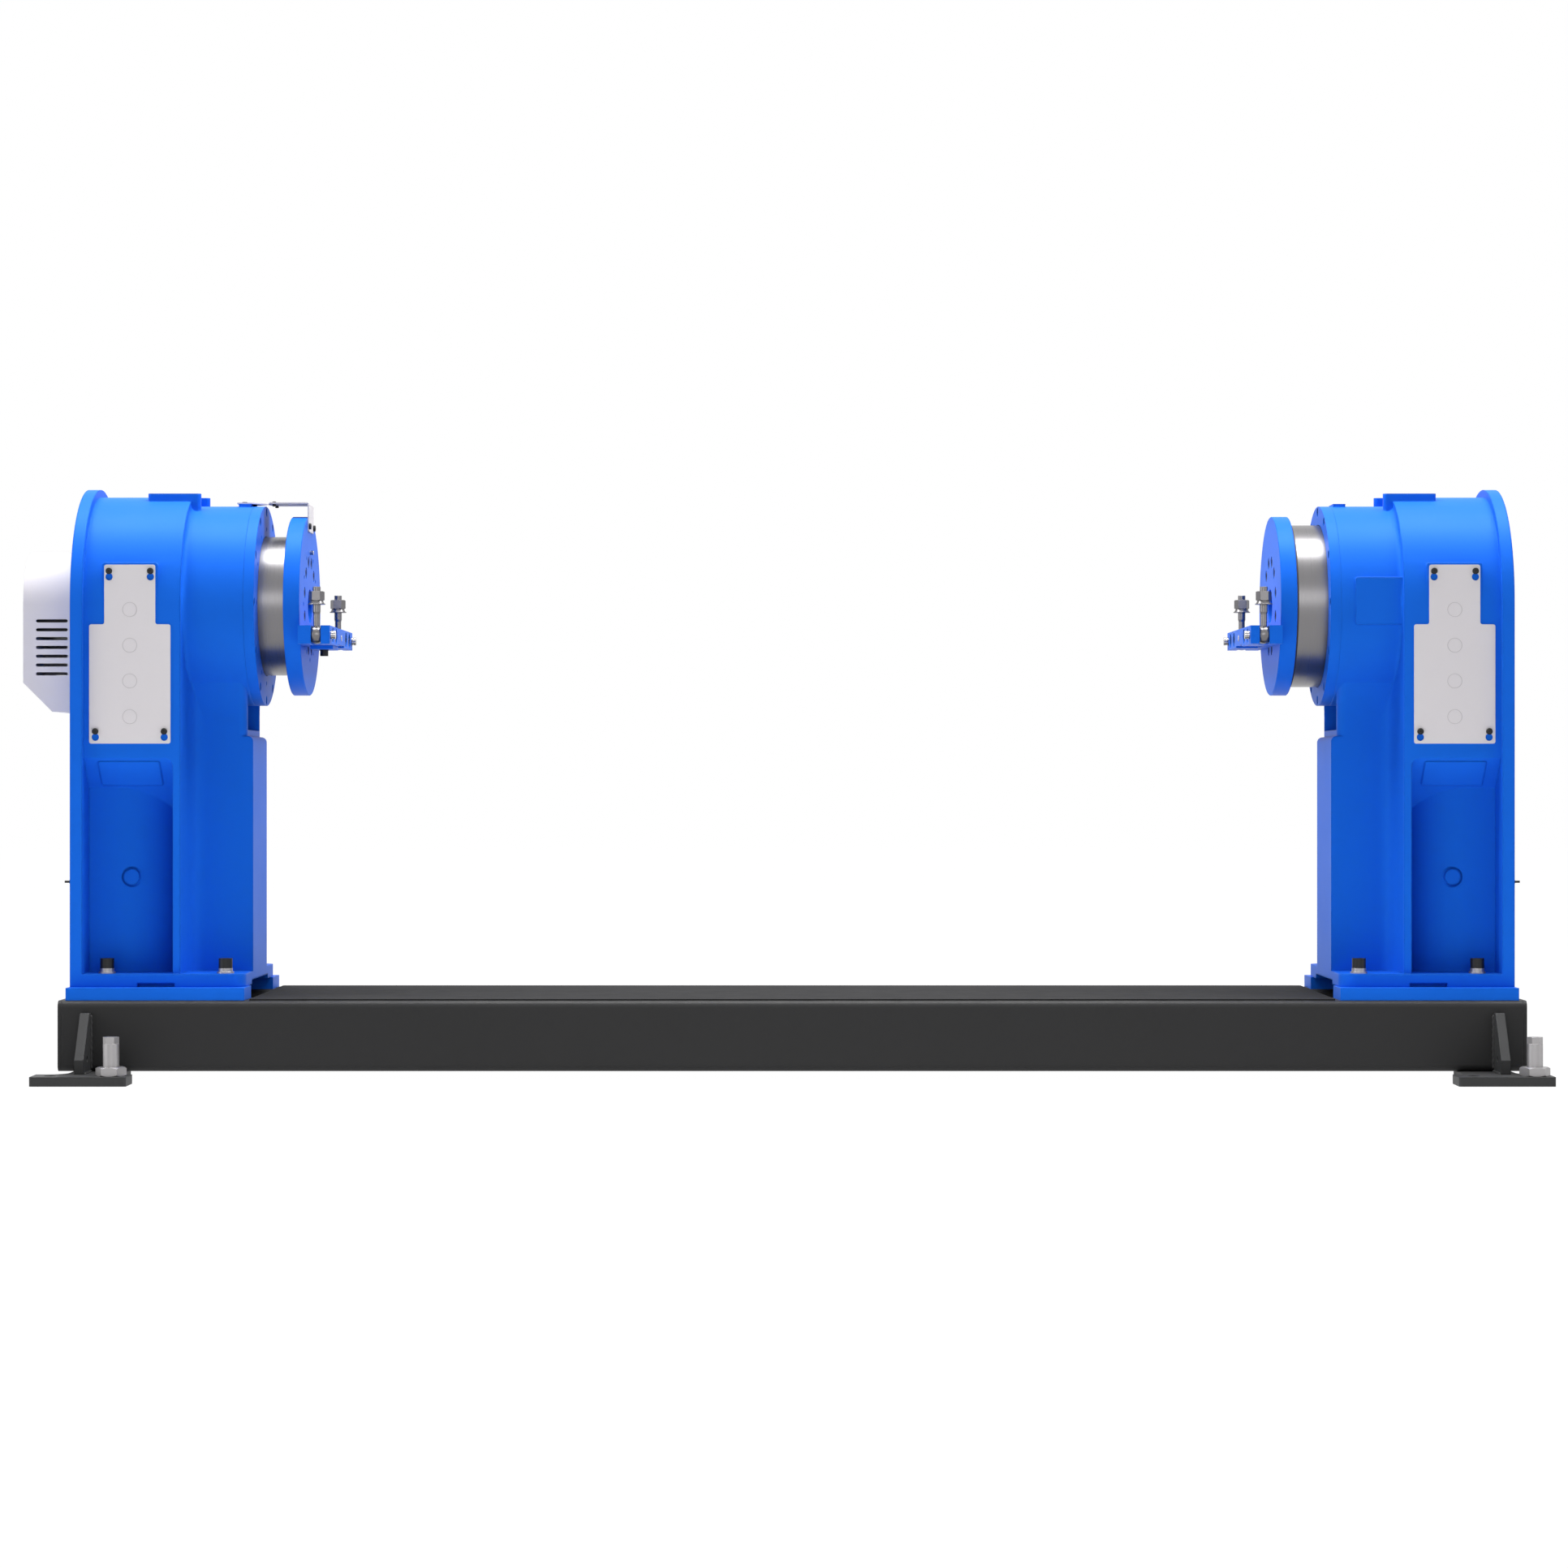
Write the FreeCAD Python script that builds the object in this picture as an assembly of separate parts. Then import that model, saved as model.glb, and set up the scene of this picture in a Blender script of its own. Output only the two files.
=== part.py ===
"""Head and tail welding positioner on a floor beam, millimetres, +Z up.

X runs along the rotation axis from the headstock (-X) to the tailstock (+X), Y runs across the
beam and the origin lies on the floor under the middle of the machine's overall length.
"""
import FreeCAD, Part
import math
import os

from FreeCAD import Vector

# General
AXIS_HEIGHT = 1040.0
RUNNING_FIT = 0.05
SEAT_GAP = 0.05
FACE_GAP = 0.3

# Floor beam: two long tubes, cross members and a deck sheet
BEAM_LENGTH = 3178.0
BEAM_WIDTH = 620.0
BEAM_HEIGHT = 153.0
TUBE_WIDTH = 150.0
TUBE_WALL = 10.0
TUBE_CORNER = 14.0
CROSS_MEMBER_COUNT = 5
CROSS_MEMBER_WIDTH = 80.0
CROSS_MEMBER_HEIGHT = 100.0
CROSS_MEMBER_WALL = 6.0
CROSS_MEMBER_INSET = 220.0
END_CAP_THICK = 8.0
DECK_THICK = 3.0
DECK_EDGE_INSET = 15.0
DECK_END_GAP = 10.0

# Feet, gussets and levelling screws
FOOT_THICK = 20.0
FOOT_LENGTH = 206.0
FOOT_DEPTH = 84.0
FOOT_OVERHANG = 31.0
FOOT_OUTREACH = 167.0
FOOT_CORNER = 6.0
NECK_WIDTH = 116.0
NECK_OFFSET = 64.0
NECK_UNDER_BEAM = 60.0
NECK_FILLET = 45.0
ANCHOR_HOLE_R = 13.0
FOOT_HOLE_INSET = 38.0
GUSSET_THICK = 20.0
GUSSET_OFFSET = 83.0
GUSSET_HEIGHT = 127.0
GUSSET_TOE_HEIGHT = 30.0
GUSSET_DEPTH = 90.0
GUSSET_HOLE_R = 7.0
LEVEL_SCREW_R = 17.35
LEVEL_SCREW_HEIGHT = 103.0
LEVEL_HEX_FLATS = 30.0
LEVEL_HEX_HEIGHT = 14.5
LOCK_NUT_FLATS = 57.5
LOCK_NUT_HEIGHT = 19.0

# Sole strips and hold-down screws
SOLE_THICK = 27.0
SOLE_DEPTH = 112.0
SOLE_EDGE_INSET = 12.0
SOLE_OUTER_LIP = 2.5
SOLE_INNER_LIP = 5.0
HOLD_DOWN_R = 10.0
HOLD_DOWN_HEAD_R = 15.0
HOLD_DOWN_HEAD_HEIGHT = 21.5
HOLD_DOWN_SOCKET_FLATS = 17.0
HOLD_DOWN_SOCKET_DEPTH = 10.0
HOLD_DOWN_HOLE_R = 11.0
SPRING_WASHER_R = 15.6
SPRING_WASHER_THICK = 7.5
FLAT_WASHER_R = 18.5
FLAT_WASHER_THICK = 4.0
HOLD_DOWN_OUTER_X = 75.5
HOLD_DOWN_INNER_X = 334.0
HOLD_DOWN_Y = 225.0
HOLD_DOWN_LENGTH = 62.0

# Column casting, x measured inwards from the outer face of its rim
RIM_FACE_INSET = 17.5
RIM_THICK = 26.5
RIM_RADIUS = 260.0
BODY_END = 237.5
BODY_RADIUS = 243.0
CASING_END = 372.0
CASING_RADIUS = 223.0
SHOULDER_FILLET = 12.0
CAST_WALL = 18.0
HOLLOW_LAND = 15.0
CABLE_HOLE_R = 24.0
CABLE_HOLE_X = 100.0
FLANGE_THICK = 28.5
FLANGE_CORNER = 37.0
COLUMN_END = 365.5
COLUMN_HALF_WIDTH = 116.0
COLUMN_EDGE_R = 17.0
LOBE_HALF_WIDTH = 170.0
LOBE_FLAT_END = 91.0
LOBE_RADIUS = 151.0
RIB_FILLET_X = 38.0
RIB_FILLET_Y = 109.0
RIB_FILLET_TOE_LEAD = 26.0
RIB_FILLET_TIP_LEAD = 98.0
RIB_FILLET_TIP_LEAN = 4.0
FLARE_DROP = 40.0
FLARE_FOOT_LEAD = 55.0
FLARE_HEAD_LEAD = 90.0
FLARE_HEAD_LEAN = 15.0
FLARE_LAND = 2.0
RIB_THICK = 16.0
POCKET_TOP_DROP = 341.0
CEILING_SLOPE = 42.0
CEILING_CORNER_R = 18.0
CEILING_PAD_PROUD = 3.0
CEILING_PAD_LENGTH = 134.0
CEILING_PAD_START = 10.0
CEILING_PAD_DEPTH = 78.0
END_PAD_PROUD = 14.0
END_PAD_TOP_DROP = 292.0
END_PAD_TOP_R = 12.0
WINDOW_HALF_WIDTH = 98.0
WINDOW_BOTTOM_DROP = 278.0
UNDERSIDE_HALF_WIDTH = 135.0
UNDERSIDE_HEIGHT = 10.0
LIFT_SLOT_START = 146.5
LIFT_SLOT_LENGTH = 81.5
LIFT_SLOT_HEIGHT = 8.5
PLUG_X = 120.0
PLUG_Z = 438.0
PLUG_R = 17.5
PLUG_RECESS_R = 21.5
PLUG_RECESS_DEPTH = 8.0
PLUG_PROUD = 1.0
TOP_LUG_START = 141.0
TOP_LUG_END = 258.0
TOP_LUG_HALF_SPAN = 80.0
TOP_LUG_THICK = 22.0
TOP_LUG_RISE = 247.0
TOP_LUG_CORNER = 9.0
POINTER_PAD_START = 337.0
POINTER_PAD_LENGTH = 27.0
POINTER_PAD_WIDTH = 73.0
POINTER_PAD_RISE = 227.0
TAIL_SIDE_PAD_SIZE = 103.0
TAIL_SIDE_PAD_PROUD = 2.0
TAIL_SIDE_PAD_RISE = 53.5
REAR_OPENING_R = 108.0
REAR_OPENING_DROP = 150.0

# Side covers
COVER_THICK = 3.0
COVER_LOWER_START = 39.5
COVER_LOWER_WIDTH = 177.0
COVER_BOTTOM_DROP = 310.0
COVER_STEP_DROP = 50.0
COVER_UPPER_WIDTH = 111.0
COVER_UPPER_START = 72.5
COVER_TOP_RISE = 80.0
COVER_CORNER = 5.0
COVER_PAD_LIP = 4.0
KEYHOLE_R = 8.0
KEYHOLE_DROP = 12.5
COVER_SCREW_R = 4.0
COVER_SCREW_INSET_UPPER = 10.5
COVER_SCREW_INSET_LOWER = 13.5
COVER_SCREW_TOP_DROP = 14.0
COVER_SCREW_BOTTOM_RISE = 26.5

# Motor cover and drive
MOTOR_COVER_DEPTH = 128.5
MOTOR_COVER_R = 119.0
MOTOR_COVER_DROP = 238.0
MOTOR_COVER_CHAMFER = 64.0
MOTOR_COVER_WALL = 2.5
VENT_COUNT = 7
VENT_LENGTH = 70.0
VENT_HEIGHT = 7.0
VENT_PITCH = 19.5
VENT_TOP_DROP = 37.5
VENT_END_INSET = 28.5
MOTOR_BACK = -112.0
MOTOR_HALF = 71.0
MOTOR_CORNER = 22.0
MOTOR_FLANGE_HALF = 90.0
MOTOR_FLANGE_THICK = 16.0
MOTOR_FRONT = 150.0
ADAPTER_R = 128.0
REDUCER_BACK = 262.0
REDUCER_R = 150.0
REDUCER_FLANGE_R = 182.0
REDUCER_FLANGE_THICK = 20.0
REDUCER_OUTPUT_R = 112.0
REDUCER_OUTPUT_DEPTH = 70.0

# End rings, drums and faceplates
END_RING_THICK = 22.5
END_SCREW_COUNT = 12
END_SCREW_PCD = 420.0
END_SCREW_HEAD_R = 9.0
END_SCREW_HEAD_HEIGHT = 12.0
END_SCREW_R = 6.0
END_SCREW_RECESS_R = 10.0
END_SCREW_RECESS = 14.0
END_SCREW_LENGTH = 34.0
SMALL_HOLE_PCD = 345.0
SMALL_HOLE_R = 5.0
SMALL_HOLE_DEPTH = 8.0
DRUM_CLEARANCE = 1.0
HEAD_DRUM_R = 155.0
HEAD_DRUM_REACH = 61.0
TAIL_DRUM_R = 181.0
TAIL_DRUM_REACH = 65.0
DRUM_TAIL_IN = 12.0
INSULATING_RING_THICK = 5.0
INSULATING_RING_R = 186.0
FACEPLATE_R = 200.0
FACEPLATE_THICK = 36.0
FACEPLATE_CHAMFER = 1.5
CENTRE_BORE_R = 38.0
FACE_SCREW_COUNT = 12
FACE_SCREW_PCD = 200.0
FACE_SCREW_RECESS_R = 13.0
FACE_SCREW_RECESS = 17.0
FACE_SCREW_R = 8.0
FACE_SCREW_HEAD_R = 12.0
FACE_SCREW_HEAD_HEIGHT = 16.0
FACE_SCREW_LENGTH = 40.0
DRUM_BORE_R = 70.0
INDEX_HOLE_COUNT = 12
INDEX_HOLE_PCD = 240.0
INDEX_HOLE_R = 5.0
INDEX_HOLE_DEPTH = 24.0
INDEX_DOWEL_PROUD = 8.0

# Tail spindle
SPINDLE_R = 60.0
SPINDLE_BACK = 120.0
SPINDLE_NOSE_R = 105.0
SPINDLE_NOSE_THICK = 24.0
RACE_WIDTH = 34.0
INNER_RACE_R = 76.0
ROLLER_R = 11.0
ROLLER_LENGTH = 28.0
ROLLER_COUNT = 12
OUTER_RACE_R = 114.0
HUB_R = 136.0
HUB_BACK = 150.0
HUB_FRONT = 320.0
RACE_LIP = 6.0
SHAFT_NUT_R = 78.0
SHAFT_NUT_THICK = 16.0
TAIL_COVER_THICK = 4.0
TAIL_COVER_LIP = 10.0

# Clamp bars and swing bolts
BAR_DEPTH = 70.0
BAR_HEIGHT = 40.0
BAR_PAST_PIVOT = 20.0
BAR_DROP = 71.5
BAR_NOTCH_LENGTH = 110.0
BAR_NOTCH_DEPTH = 4.0
SLOT_WIDTH = 21.8
SLOT_CENTRE = 39.4
PIVOT_SPAN = 416.0
SLOT_BEHIND_PIVOT = 23.0
PIN_R = 9.0
PIN_PROUD = 11.0
PIN_BLIND = 6.0
PIN_GROOVE_DEPTH = 1.2
PIN_GROOVE_WIDTH = 2.0
PIN_GROOVE_AT = 5.0
BAR_SCREW_R = 10.0
BAR_SCREW_RECESS_R = 16.5
BAR_SCREW_RECESS = 22.0
BAR_SCREW_HEAD_R = 15.0
BAR_SCREW_HEAD_HEIGHT = 20.0
BAR_SCREW_LENGTH = 62.0
BAR_SCREW_SOCKET_FLATS = 17.0
BAR_SCREW_SOCKET_DEPTH = 10.0
BAR_INNER_SCREW_SPAN = 196.0
BAR_SCREW_FROM_PIVOT = 43.0
BAR_DOWEL_R = 7.0
BAR_DOWEL_LENGTH = 50.0
EYE_R = 20.0
EYE_WIDTH = 21.0
SHANK_R = 7.15
THREAD_R = 8.5
THREAD_START = 50.0
THREAD_TAPER = 5.0
BOLT_REACH = 105.0
COLLAR_FROM_PIN = 66.0
COLLAR_R = 19.0
COLLAR_LIP = 2.0
COLLAR_HEIGHT = 8.5
COLLAR_TOP_R = 14.0
NUT_HEIGHT = 20.5
NUT_FLATS = 30.0
STOP_SLAB_Y = 15.0
STOP_SLAB_LENGTH = 100.0
STOP_SLAB_WIDTH = 50.0
STOP_SLAB_THICK = 8.0
STOP_SCREW_R = 6.0
STOP_SCREW_HEAD_R = 9.0
STOP_SCREW_HEAD_HEIGHT = 12.0
STOP_SCREW_LENGTH = 22.0
STOP_WASHER_R = 10.0
STOP_WASHER_THICK = 2.0

# Zero pointers
POINTER_THICK = 3.0
POINTER_LENGTH = 64.0
POINTER_WIDTH = 66.0
POINTER_POINT = 30.0
BRACKET_WIDTH = 90.0
BRACKET_POINT = 8.0
BRACKET_DROP = 65.0
POINTER_TIP_GAP = 1.0
POINTER_BEND_R = 5.0

# Places worked out from the sizes above
HALF_BEAM = BEAM_LENGTH / 2
HALF_WIDTH = BEAM_WIDTH / 2
BEAM_TOP = FOOT_THICK + BEAM_HEIGHT
RIM_FACE = HALF_BEAM - RIM_FACE_INSET
MOTOR_COVER_FACE = RIM_FACE + MOTOR_COVER_DEPTH
FOOT_FACE = HALF_BEAM + FOOT_OVERHANG
BEAM_CENTRE = (MOTOR_COVER_FACE - FOOT_FACE) / 2
FLANGE_BOTTOM = BEAM_TOP + SOLE_THICK
FLANGE_TOP = FLANGE_BOTTOM + FLANGE_THICK
POCKET_TOP = AXIS_HEIGHT - POCKET_TOP_DROP
END_PAD_TOP = AXIS_HEIGHT - END_PAD_TOP_DROP
WINDOW_BOTTOM = AXIS_HEIGHT - WINDOW_BOTTOM_DROP
COVER_BOTTOM = AXIS_HEIGHT - COVER_BOTTOM_DROP
COVER_STEP = AXIS_HEIGHT - COVER_STEP_DROP
COVER_TOP = AXIS_HEIGHT + COVER_TOP_RISE
BAR_LENGTH = PIVOT_SPAN + 2 * BAR_PAST_PIVOT
END_PAD_FACE = COLUMN_END + END_PAD_PROUD
END_FACE = CASING_END + END_RING_THICK
HEAD_PLATE_BACK = END_FACE + HEAD_DRUM_REACH
TAIL_PLATE_BACK = END_FACE + TAIL_DRUM_REACH + INSULATING_RING_THICK
HEAD_PLATE_FACE = HEAD_PLATE_BACK + FACEPLATE_THICK
TAIL_PLATE_FACE = TAIL_PLATE_BACK + FACEPLATE_THICK
X_AXIS = Vector(1, 0, 0)
Z_AXIS = Vector(0, 0, 1)


# Helpers for plain forms


def block(x0, x1, y0, y1, z0, z1):
    """Return the box between two corners."""
    return Part.makeBox(x1 - x0, y1 - y0, z1 - z0, Vector(x0, y0, z0))


def bar_x(x0, x1, radius, y=0.0, z=AXIS_HEIGHT):
    """Return a round bar along X."""
    return Part.makeCylinder(radius, x1 - x0, Vector(x0, y, z), X_AXIS)


def ring_x(x0, x1, outer, inner, y=0.0, z=AXIS_HEIGHT):
    """Return a round ring along X."""
    return bar_x(x0, x1, outer, y, z).cut(bar_x(x0 - 1, x1 + 1, inner, y, z))


def bar_z(z0, z1, radius, x, y):
    """Return a round bar along Z."""
    return Part.makeCylinder(radius, z1 - z0, Vector(x, y, z0), Z_AXIS)


def bar_y(y0, y1, radius, x, z):
    """Return a round bar along Y."""
    return Part.makeCylinder(radius, y1 - y0, Vector(x, y0, z), Vector(0, 1, 0))


def prism(points, direction):
    """Return the solid swept by a flat polygon."""
    wire = Part.makePolygon([Vector(*point) for point in points + points[:1]])
    return Part.Face(wire).extrude(Vector(*direction))


def hexagon_z(z0, z1, flats, x, y):
    """Return a hexagonal bar along Z with corners on the X axis."""
    corner = flats / math.sqrt(3)
    turns = [math.radians(60 * step) for step in range(6)]
    points = [(x + corner * math.cos(t), y + corner * math.sin(t), z0) for t in turns]
    return prism(points, (0, 0, z1 - z0))


def hexagon_x(x0, x1, flats, y, z):
    """Return a hexagonal bar along X."""
    corner = flats / math.sqrt(3)
    turns = [math.radians(60 * step) for step in range(6)]
    points = [(x0, y + corner * math.cos(t), z + corner * math.sin(t)) for t in turns]
    return prism(points, (x1 - x0, 0, 0))


def arch(x0, x1, radius, bottom):
    """Return a block with upright sides and a half-round top about the rotation axis."""
    foot_left = Vector(x0, -radius, bottom)
    foot_right = Vector(x0, radius, bottom)
    spring_left = Vector(x0, -radius, AXIS_HEIGHT)
    spring_right = Vector(x0, radius, AXIS_HEIGHT)
    crown = Vector(x0, 0, AXIS_HEIGHT + radius)
    edges = [
        Part.makeLine(foot_left, spring_left),
        Part.Arc(spring_left, crown, spring_right).toShape(),
        Part.makeLine(spring_right, foot_right),
        Part.makeLine(foot_right, foot_left),
    ]
    return Part.Face(Part.Wire(edges)).extrude(Vector(x1 - x0, 0, 0))


def round_edges(shape, radius, along, keep=None):
    """Round the straight edges that run along one direction.

    keep, where given, picks edges by their centre point.
    """
    edges = []
    for edge in shape.Edges:
        if not isinstance(edge.Curve, Part.Line):
            continue
        run = edge.tangentAt(edge.FirstParameter)
        if abs(abs(run.dot(Vector(*along))) - 1) > 1e-6:
            continue
        if keep is None or keep(edge.CenterOfMass):
            edges.append(edge)
    return shape.makeFillet(radius, edges)


def fuse(shapes):
    """Join solids into one and merge faces that run on."""
    return shapes[0].multiFuse(shapes[1:]).removeSplitter()


def around_axis(shape, count, first=0.0):
    """Return copies of a solid spaced evenly about the rotation axis."""
    copies = []
    for step in range(count):
        copy = shape.copy()
        copy.rotate(Vector(0, 0, AXIS_HEIGHT), X_AXIS, first + 360.0 * step / count)
        copies.append(copy)
    return copies


def both_sides(shape):
    """Return a solid and its mirror image across the middle plane of the beam."""
    return [shape, shape.mirror(Vector(0, 0, 0), Vector(0, 1, 0))]


def at_head(shape):
    """Place a stand's shape, drawn inwards from its rim, at the head end."""
    return shape.translated(Vector(BEAM_CENTRE - RIM_FACE, 0, 0))


def at_tail(shape):
    """Place a stand's shape, drawn inwards from its rim, at the tail end."""
    return shape.mirror(Vector(0, 0, 0), X_AXIS).translated(Vector(BEAM_CENTRE + RIM_FACE, 0, 0))


def at_beam(shape):
    """Place a shape drawn about the middle of the beam."""
    return shape.translated(Vector(BEAM_CENTRE, 0, 0))


def both_ends(shape):
    """Return one copy of a stand's shape for each end."""
    return [at_head(shape), at_tail(shape)]


def export(name, shapes):
    """Write one node's solids to its file."""
    solids = []
    for shape in shapes:
        solids.extend(shape.Solids)
    node = solids[0] if len(solids) == 1 else Part.makeCompound(solids)
    node.exportStep("parts/" + name + ".step")
    print(name, len(solids), "solids", round(node.Volume / 1000), "cm3", "valid", node.isValid())


# Floor beam and feet


def beam_tubes():
    """Return the front tube and the rear tube, open at both ends."""
    outer = block(
        -HALF_BEAM + END_CAP_THICK, HALF_BEAM - END_CAP_THICK,
        -HALF_WIDTH, -HALF_WIDTH + TUBE_WIDTH, FOOT_THICK, BEAM_TOP,
    )
    outer = round_edges(outer, TUBE_CORNER, (1, 0, 0))
    inner = block(
        -HALF_BEAM, HALF_BEAM,
        -HALF_WIDTH + TUBE_WALL, -HALF_WIDTH + TUBE_WIDTH - TUBE_WALL,
        FOOT_THICK + TUBE_WALL, BEAM_TOP - TUBE_WALL,
    )
    tube = outer.cut(round_edges(inner, TUBE_CORNER - TUBE_WALL, (1, 0, 0)))
    for x in hold_down_beam_places():
        tube = tube.cut(bar_z(BEAM_TOP - TUBE_WALL - 1, BEAM_TOP + 1, HOLD_DOWN_HOLE_R, x, -HOLD_DOWN_Y))
    return both_sides(tube)


def hold_down_beam_places():
    """Return where the hold-down screws stand along the beam, from its middle."""
    outer = RIM_FACE - HOLD_DOWN_OUTER_X
    inner = RIM_FACE - HOLD_DOWN_INNER_X
    return [-outer, -inner, inner, outer]


def end_caps():
    """Return the four plates welded over the tube ends."""
    cap = block(
        -HALF_BEAM, -HALF_BEAM + END_CAP_THICK,
        -HALF_WIDTH, -HALF_WIDTH + TUBE_WIDTH, FOOT_THICK, BEAM_TOP,
    )
    cap = round_edges(cap, TUBE_CORNER, (1, 0, 0))
    far = cap.mirror(Vector(0, 0, 0), X_AXIS)
    return both_sides(cap) + both_sides(far)


def cross_members():
    """Return the short box sections that tie the two tubes together."""
    half_gap = HALF_WIDTH - TUBE_WIDTH
    top = BEAM_TOP - DECK_THICK
    pitch = (BEAM_LENGTH - 2 * CROSS_MEMBER_INSET) / (CROSS_MEMBER_COUNT - 1)
    members = []
    for step in range(CROSS_MEMBER_COUNT):
        x = -HALF_BEAM + CROSS_MEMBER_INSET + step * pitch
        outer = block(
            x - CROSS_MEMBER_WIDTH / 2, x + CROSS_MEMBER_WIDTH / 2, -half_gap, half_gap,
            top - CROSS_MEMBER_HEIGHT, top,
        )
        inner = block(
            x - CROSS_MEMBER_WIDTH / 2 + CROSS_MEMBER_WALL, x + CROSS_MEMBER_WIDTH / 2 - CROSS_MEMBER_WALL,
            -half_gap - 1, half_gap + 1,
            top - CROSS_MEMBER_HEIGHT + CROSS_MEMBER_WALL, top - CROSS_MEMBER_WALL,
        )
        members.append(outer.cut(inner))
    return members


def deck_cover():
    """Return the sheet that covers the beam between the two stands."""
    half_length = RIM_FACE - END_PAD_FACE - SOLE_INNER_LIP - DECK_END_GAP
    half_depth = HALF_WIDTH - DECK_EDGE_INSET
    sheet = block(-half_length, half_length, -half_depth, half_depth, BEAM_TOP, BEAM_TOP + DECK_THICK)
    return [round_edges(sheet, FOOT_CORNER, (0, 0, 1))]


def foot_corner_shapes(mirror_end):
    """Return the foot plate, gusset, levelling screw and lock nut of one front corner.

    The anchor hole lies on the -X side of every foot, so only the plate changes end for end.
    """
    sign = 1 if mirror_end else -1
    end = FOOT_FACE
    y_out = -HALF_WIDTH - FOOT_OUTREACH
    y_in = y_out + FOOT_DEPTH
    plate = block(end - FOOT_LENGTH, end, y_out, y_in, 0, FOOT_THICK)
    neck = block(
        end - NECK_OFFSET - NECK_WIDTH, end - NECK_OFFSET,
        y_in - 1, -HALF_WIDTH + NECK_UNDER_BEAM, 0, FOOT_THICK,
    )
    web_x = end - NECK_OFFSET
    web = block(web_x, web_x + NECK_FILLET, y_in - 1, y_in + NECK_FILLET, 0, FOOT_THICK)
    web = web.cut(bar_z(-1, FOOT_THICK + 1, NECK_FILLET, web_x + NECK_FILLET, y_in + NECK_FILLET))
    plate = fuse([plate, neck, web])
    plate = round_edges(plate, FOOT_CORNER, (0, 0, 1), lambda centre: centre.y < y_out + 1)
    holes_y = y_out + FOOT_DEPTH / 2
    outer_x = end - FOOT_HOLE_INSET
    inner_x = end - FOOT_LENGTH + FOOT_HOLE_INSET
    anchor_x, screw_x = (inner_x, outer_x) if mirror_end else (outer_x, inner_x)
    plate = plate.cut(bar_z(-1, FOOT_THICK + 1, ANCHOR_HOLE_R, anchor_x, holes_y))
    plate = plate.cut(bar_z(-1, FOOT_THICK + 1, LEVEL_SCREW_R + SEAT_GAP, screw_x, holes_y))
    gusset_x = end - GUSSET_OFFSET
    profile = [
        (gusset_x - GUSSET_THICK, -HALF_WIDTH, FOOT_THICK),
        (gusset_x - GUSSET_THICK, -HALF_WIDTH - GUSSET_DEPTH, FOOT_THICK),
        (gusset_x - GUSSET_THICK, -HALF_WIDTH - GUSSET_DEPTH, FOOT_THICK + GUSSET_TOE_HEIGHT),
        (gusset_x - GUSSET_THICK, -HALF_WIDTH - GUSSET_THICK, FOOT_THICK + GUSSET_HEIGHT),
        (gusset_x - GUSSET_THICK, -HALF_WIDTH, FOOT_THICK + GUSSET_HEIGHT),
    ]
    gusset = prism(profile, (GUSSET_THICK, 0, 0))
    hole_y = -HALF_WIDTH - GUSSET_DEPTH / 2
    hole_z = FOOT_THICK + GUSSET_TOE_HEIGHT
    gusset = gusset.cut(bar_x(gusset_x - GUSSET_THICK - 1, gusset_x + 1, GUSSET_HOLE_R, hole_y, hole_z))
    hex_z = LEVEL_SCREW_HEIGHT - LEVEL_HEX_HEIGHT
    shank = bar_z(0, hex_z, LEVEL_SCREW_R, screw_x, holes_y)
    screw = fuse([shank, hexagon_z(hex_z, LEVEL_SCREW_HEIGHT, LEVEL_HEX_FLATS, screw_x, holes_y)])
    nut = hexagon_z(FOOT_THICK, FOOT_THICK + LOCK_NUT_HEIGHT, LOCK_NUT_FLATS, screw_x, holes_y)
    nut = chamfer_hexagon(nut, LOCK_NUT_FLATS, FOOT_THICK, FOOT_THICK + LOCK_NUT_HEIGHT, screw_x, holes_y)
    nut = nut.cut(bar_z(FOOT_THICK - 1, LEVEL_SCREW_HEIGHT, LEVEL_SCREW_R + SEAT_GAP, screw_x, holes_y))
    shapes = [plate, gusset, screw, nut]
    if sign < 0:
        shapes = [shape.mirror(Vector(0, 0, 0), X_AXIS) for shape in shapes]
    return shapes


def chamfer_hexagon(nut, flats, z0, z1, x, y):
    """Turn the six corners of a nut to the usual 30 degree cone at both faces."""
    corner = flats / math.sqrt(3)
    drop = (corner - flats / 2) * math.tan(math.radians(30))
    reach = corner + 1
    rise = drop * (reach - flats / 2) / (corner - flats / 2)
    low = Part.makeCone(flats / 2, reach, rise, Vector(x, y, z0), Z_AXIS)
    high = Part.makeCone(reach, flats / 2, rise, Vector(x, y, z1 - rise), Z_AXIS)
    middle = bar_z(z0 + rise, z1 - rise, reach, x, y)
    return nut.common(fuse([low, middle, high]))


# Sole strips and hold-down screws


def sole_strip():
    """Return the front strip that a stand is bolted down on."""
    y_out = -HALF_WIDTH + SOLE_EDGE_INSET
    strip = block(
        -SOLE_OUTER_LIP, END_PAD_FACE + SOLE_INNER_LIP, y_out, y_out + SOLE_DEPTH,
        BEAM_TOP, FLANGE_BOTTOM,
    )
    for x in (HOLD_DOWN_OUTER_X, HOLD_DOWN_INNER_X):
        strip = strip.cut(bar_z(BEAM_TOP - 1, FLANGE_BOTTOM + 1, HOLD_DOWN_HOLE_R, x, -HOLD_DOWN_Y))
    return strip


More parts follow.
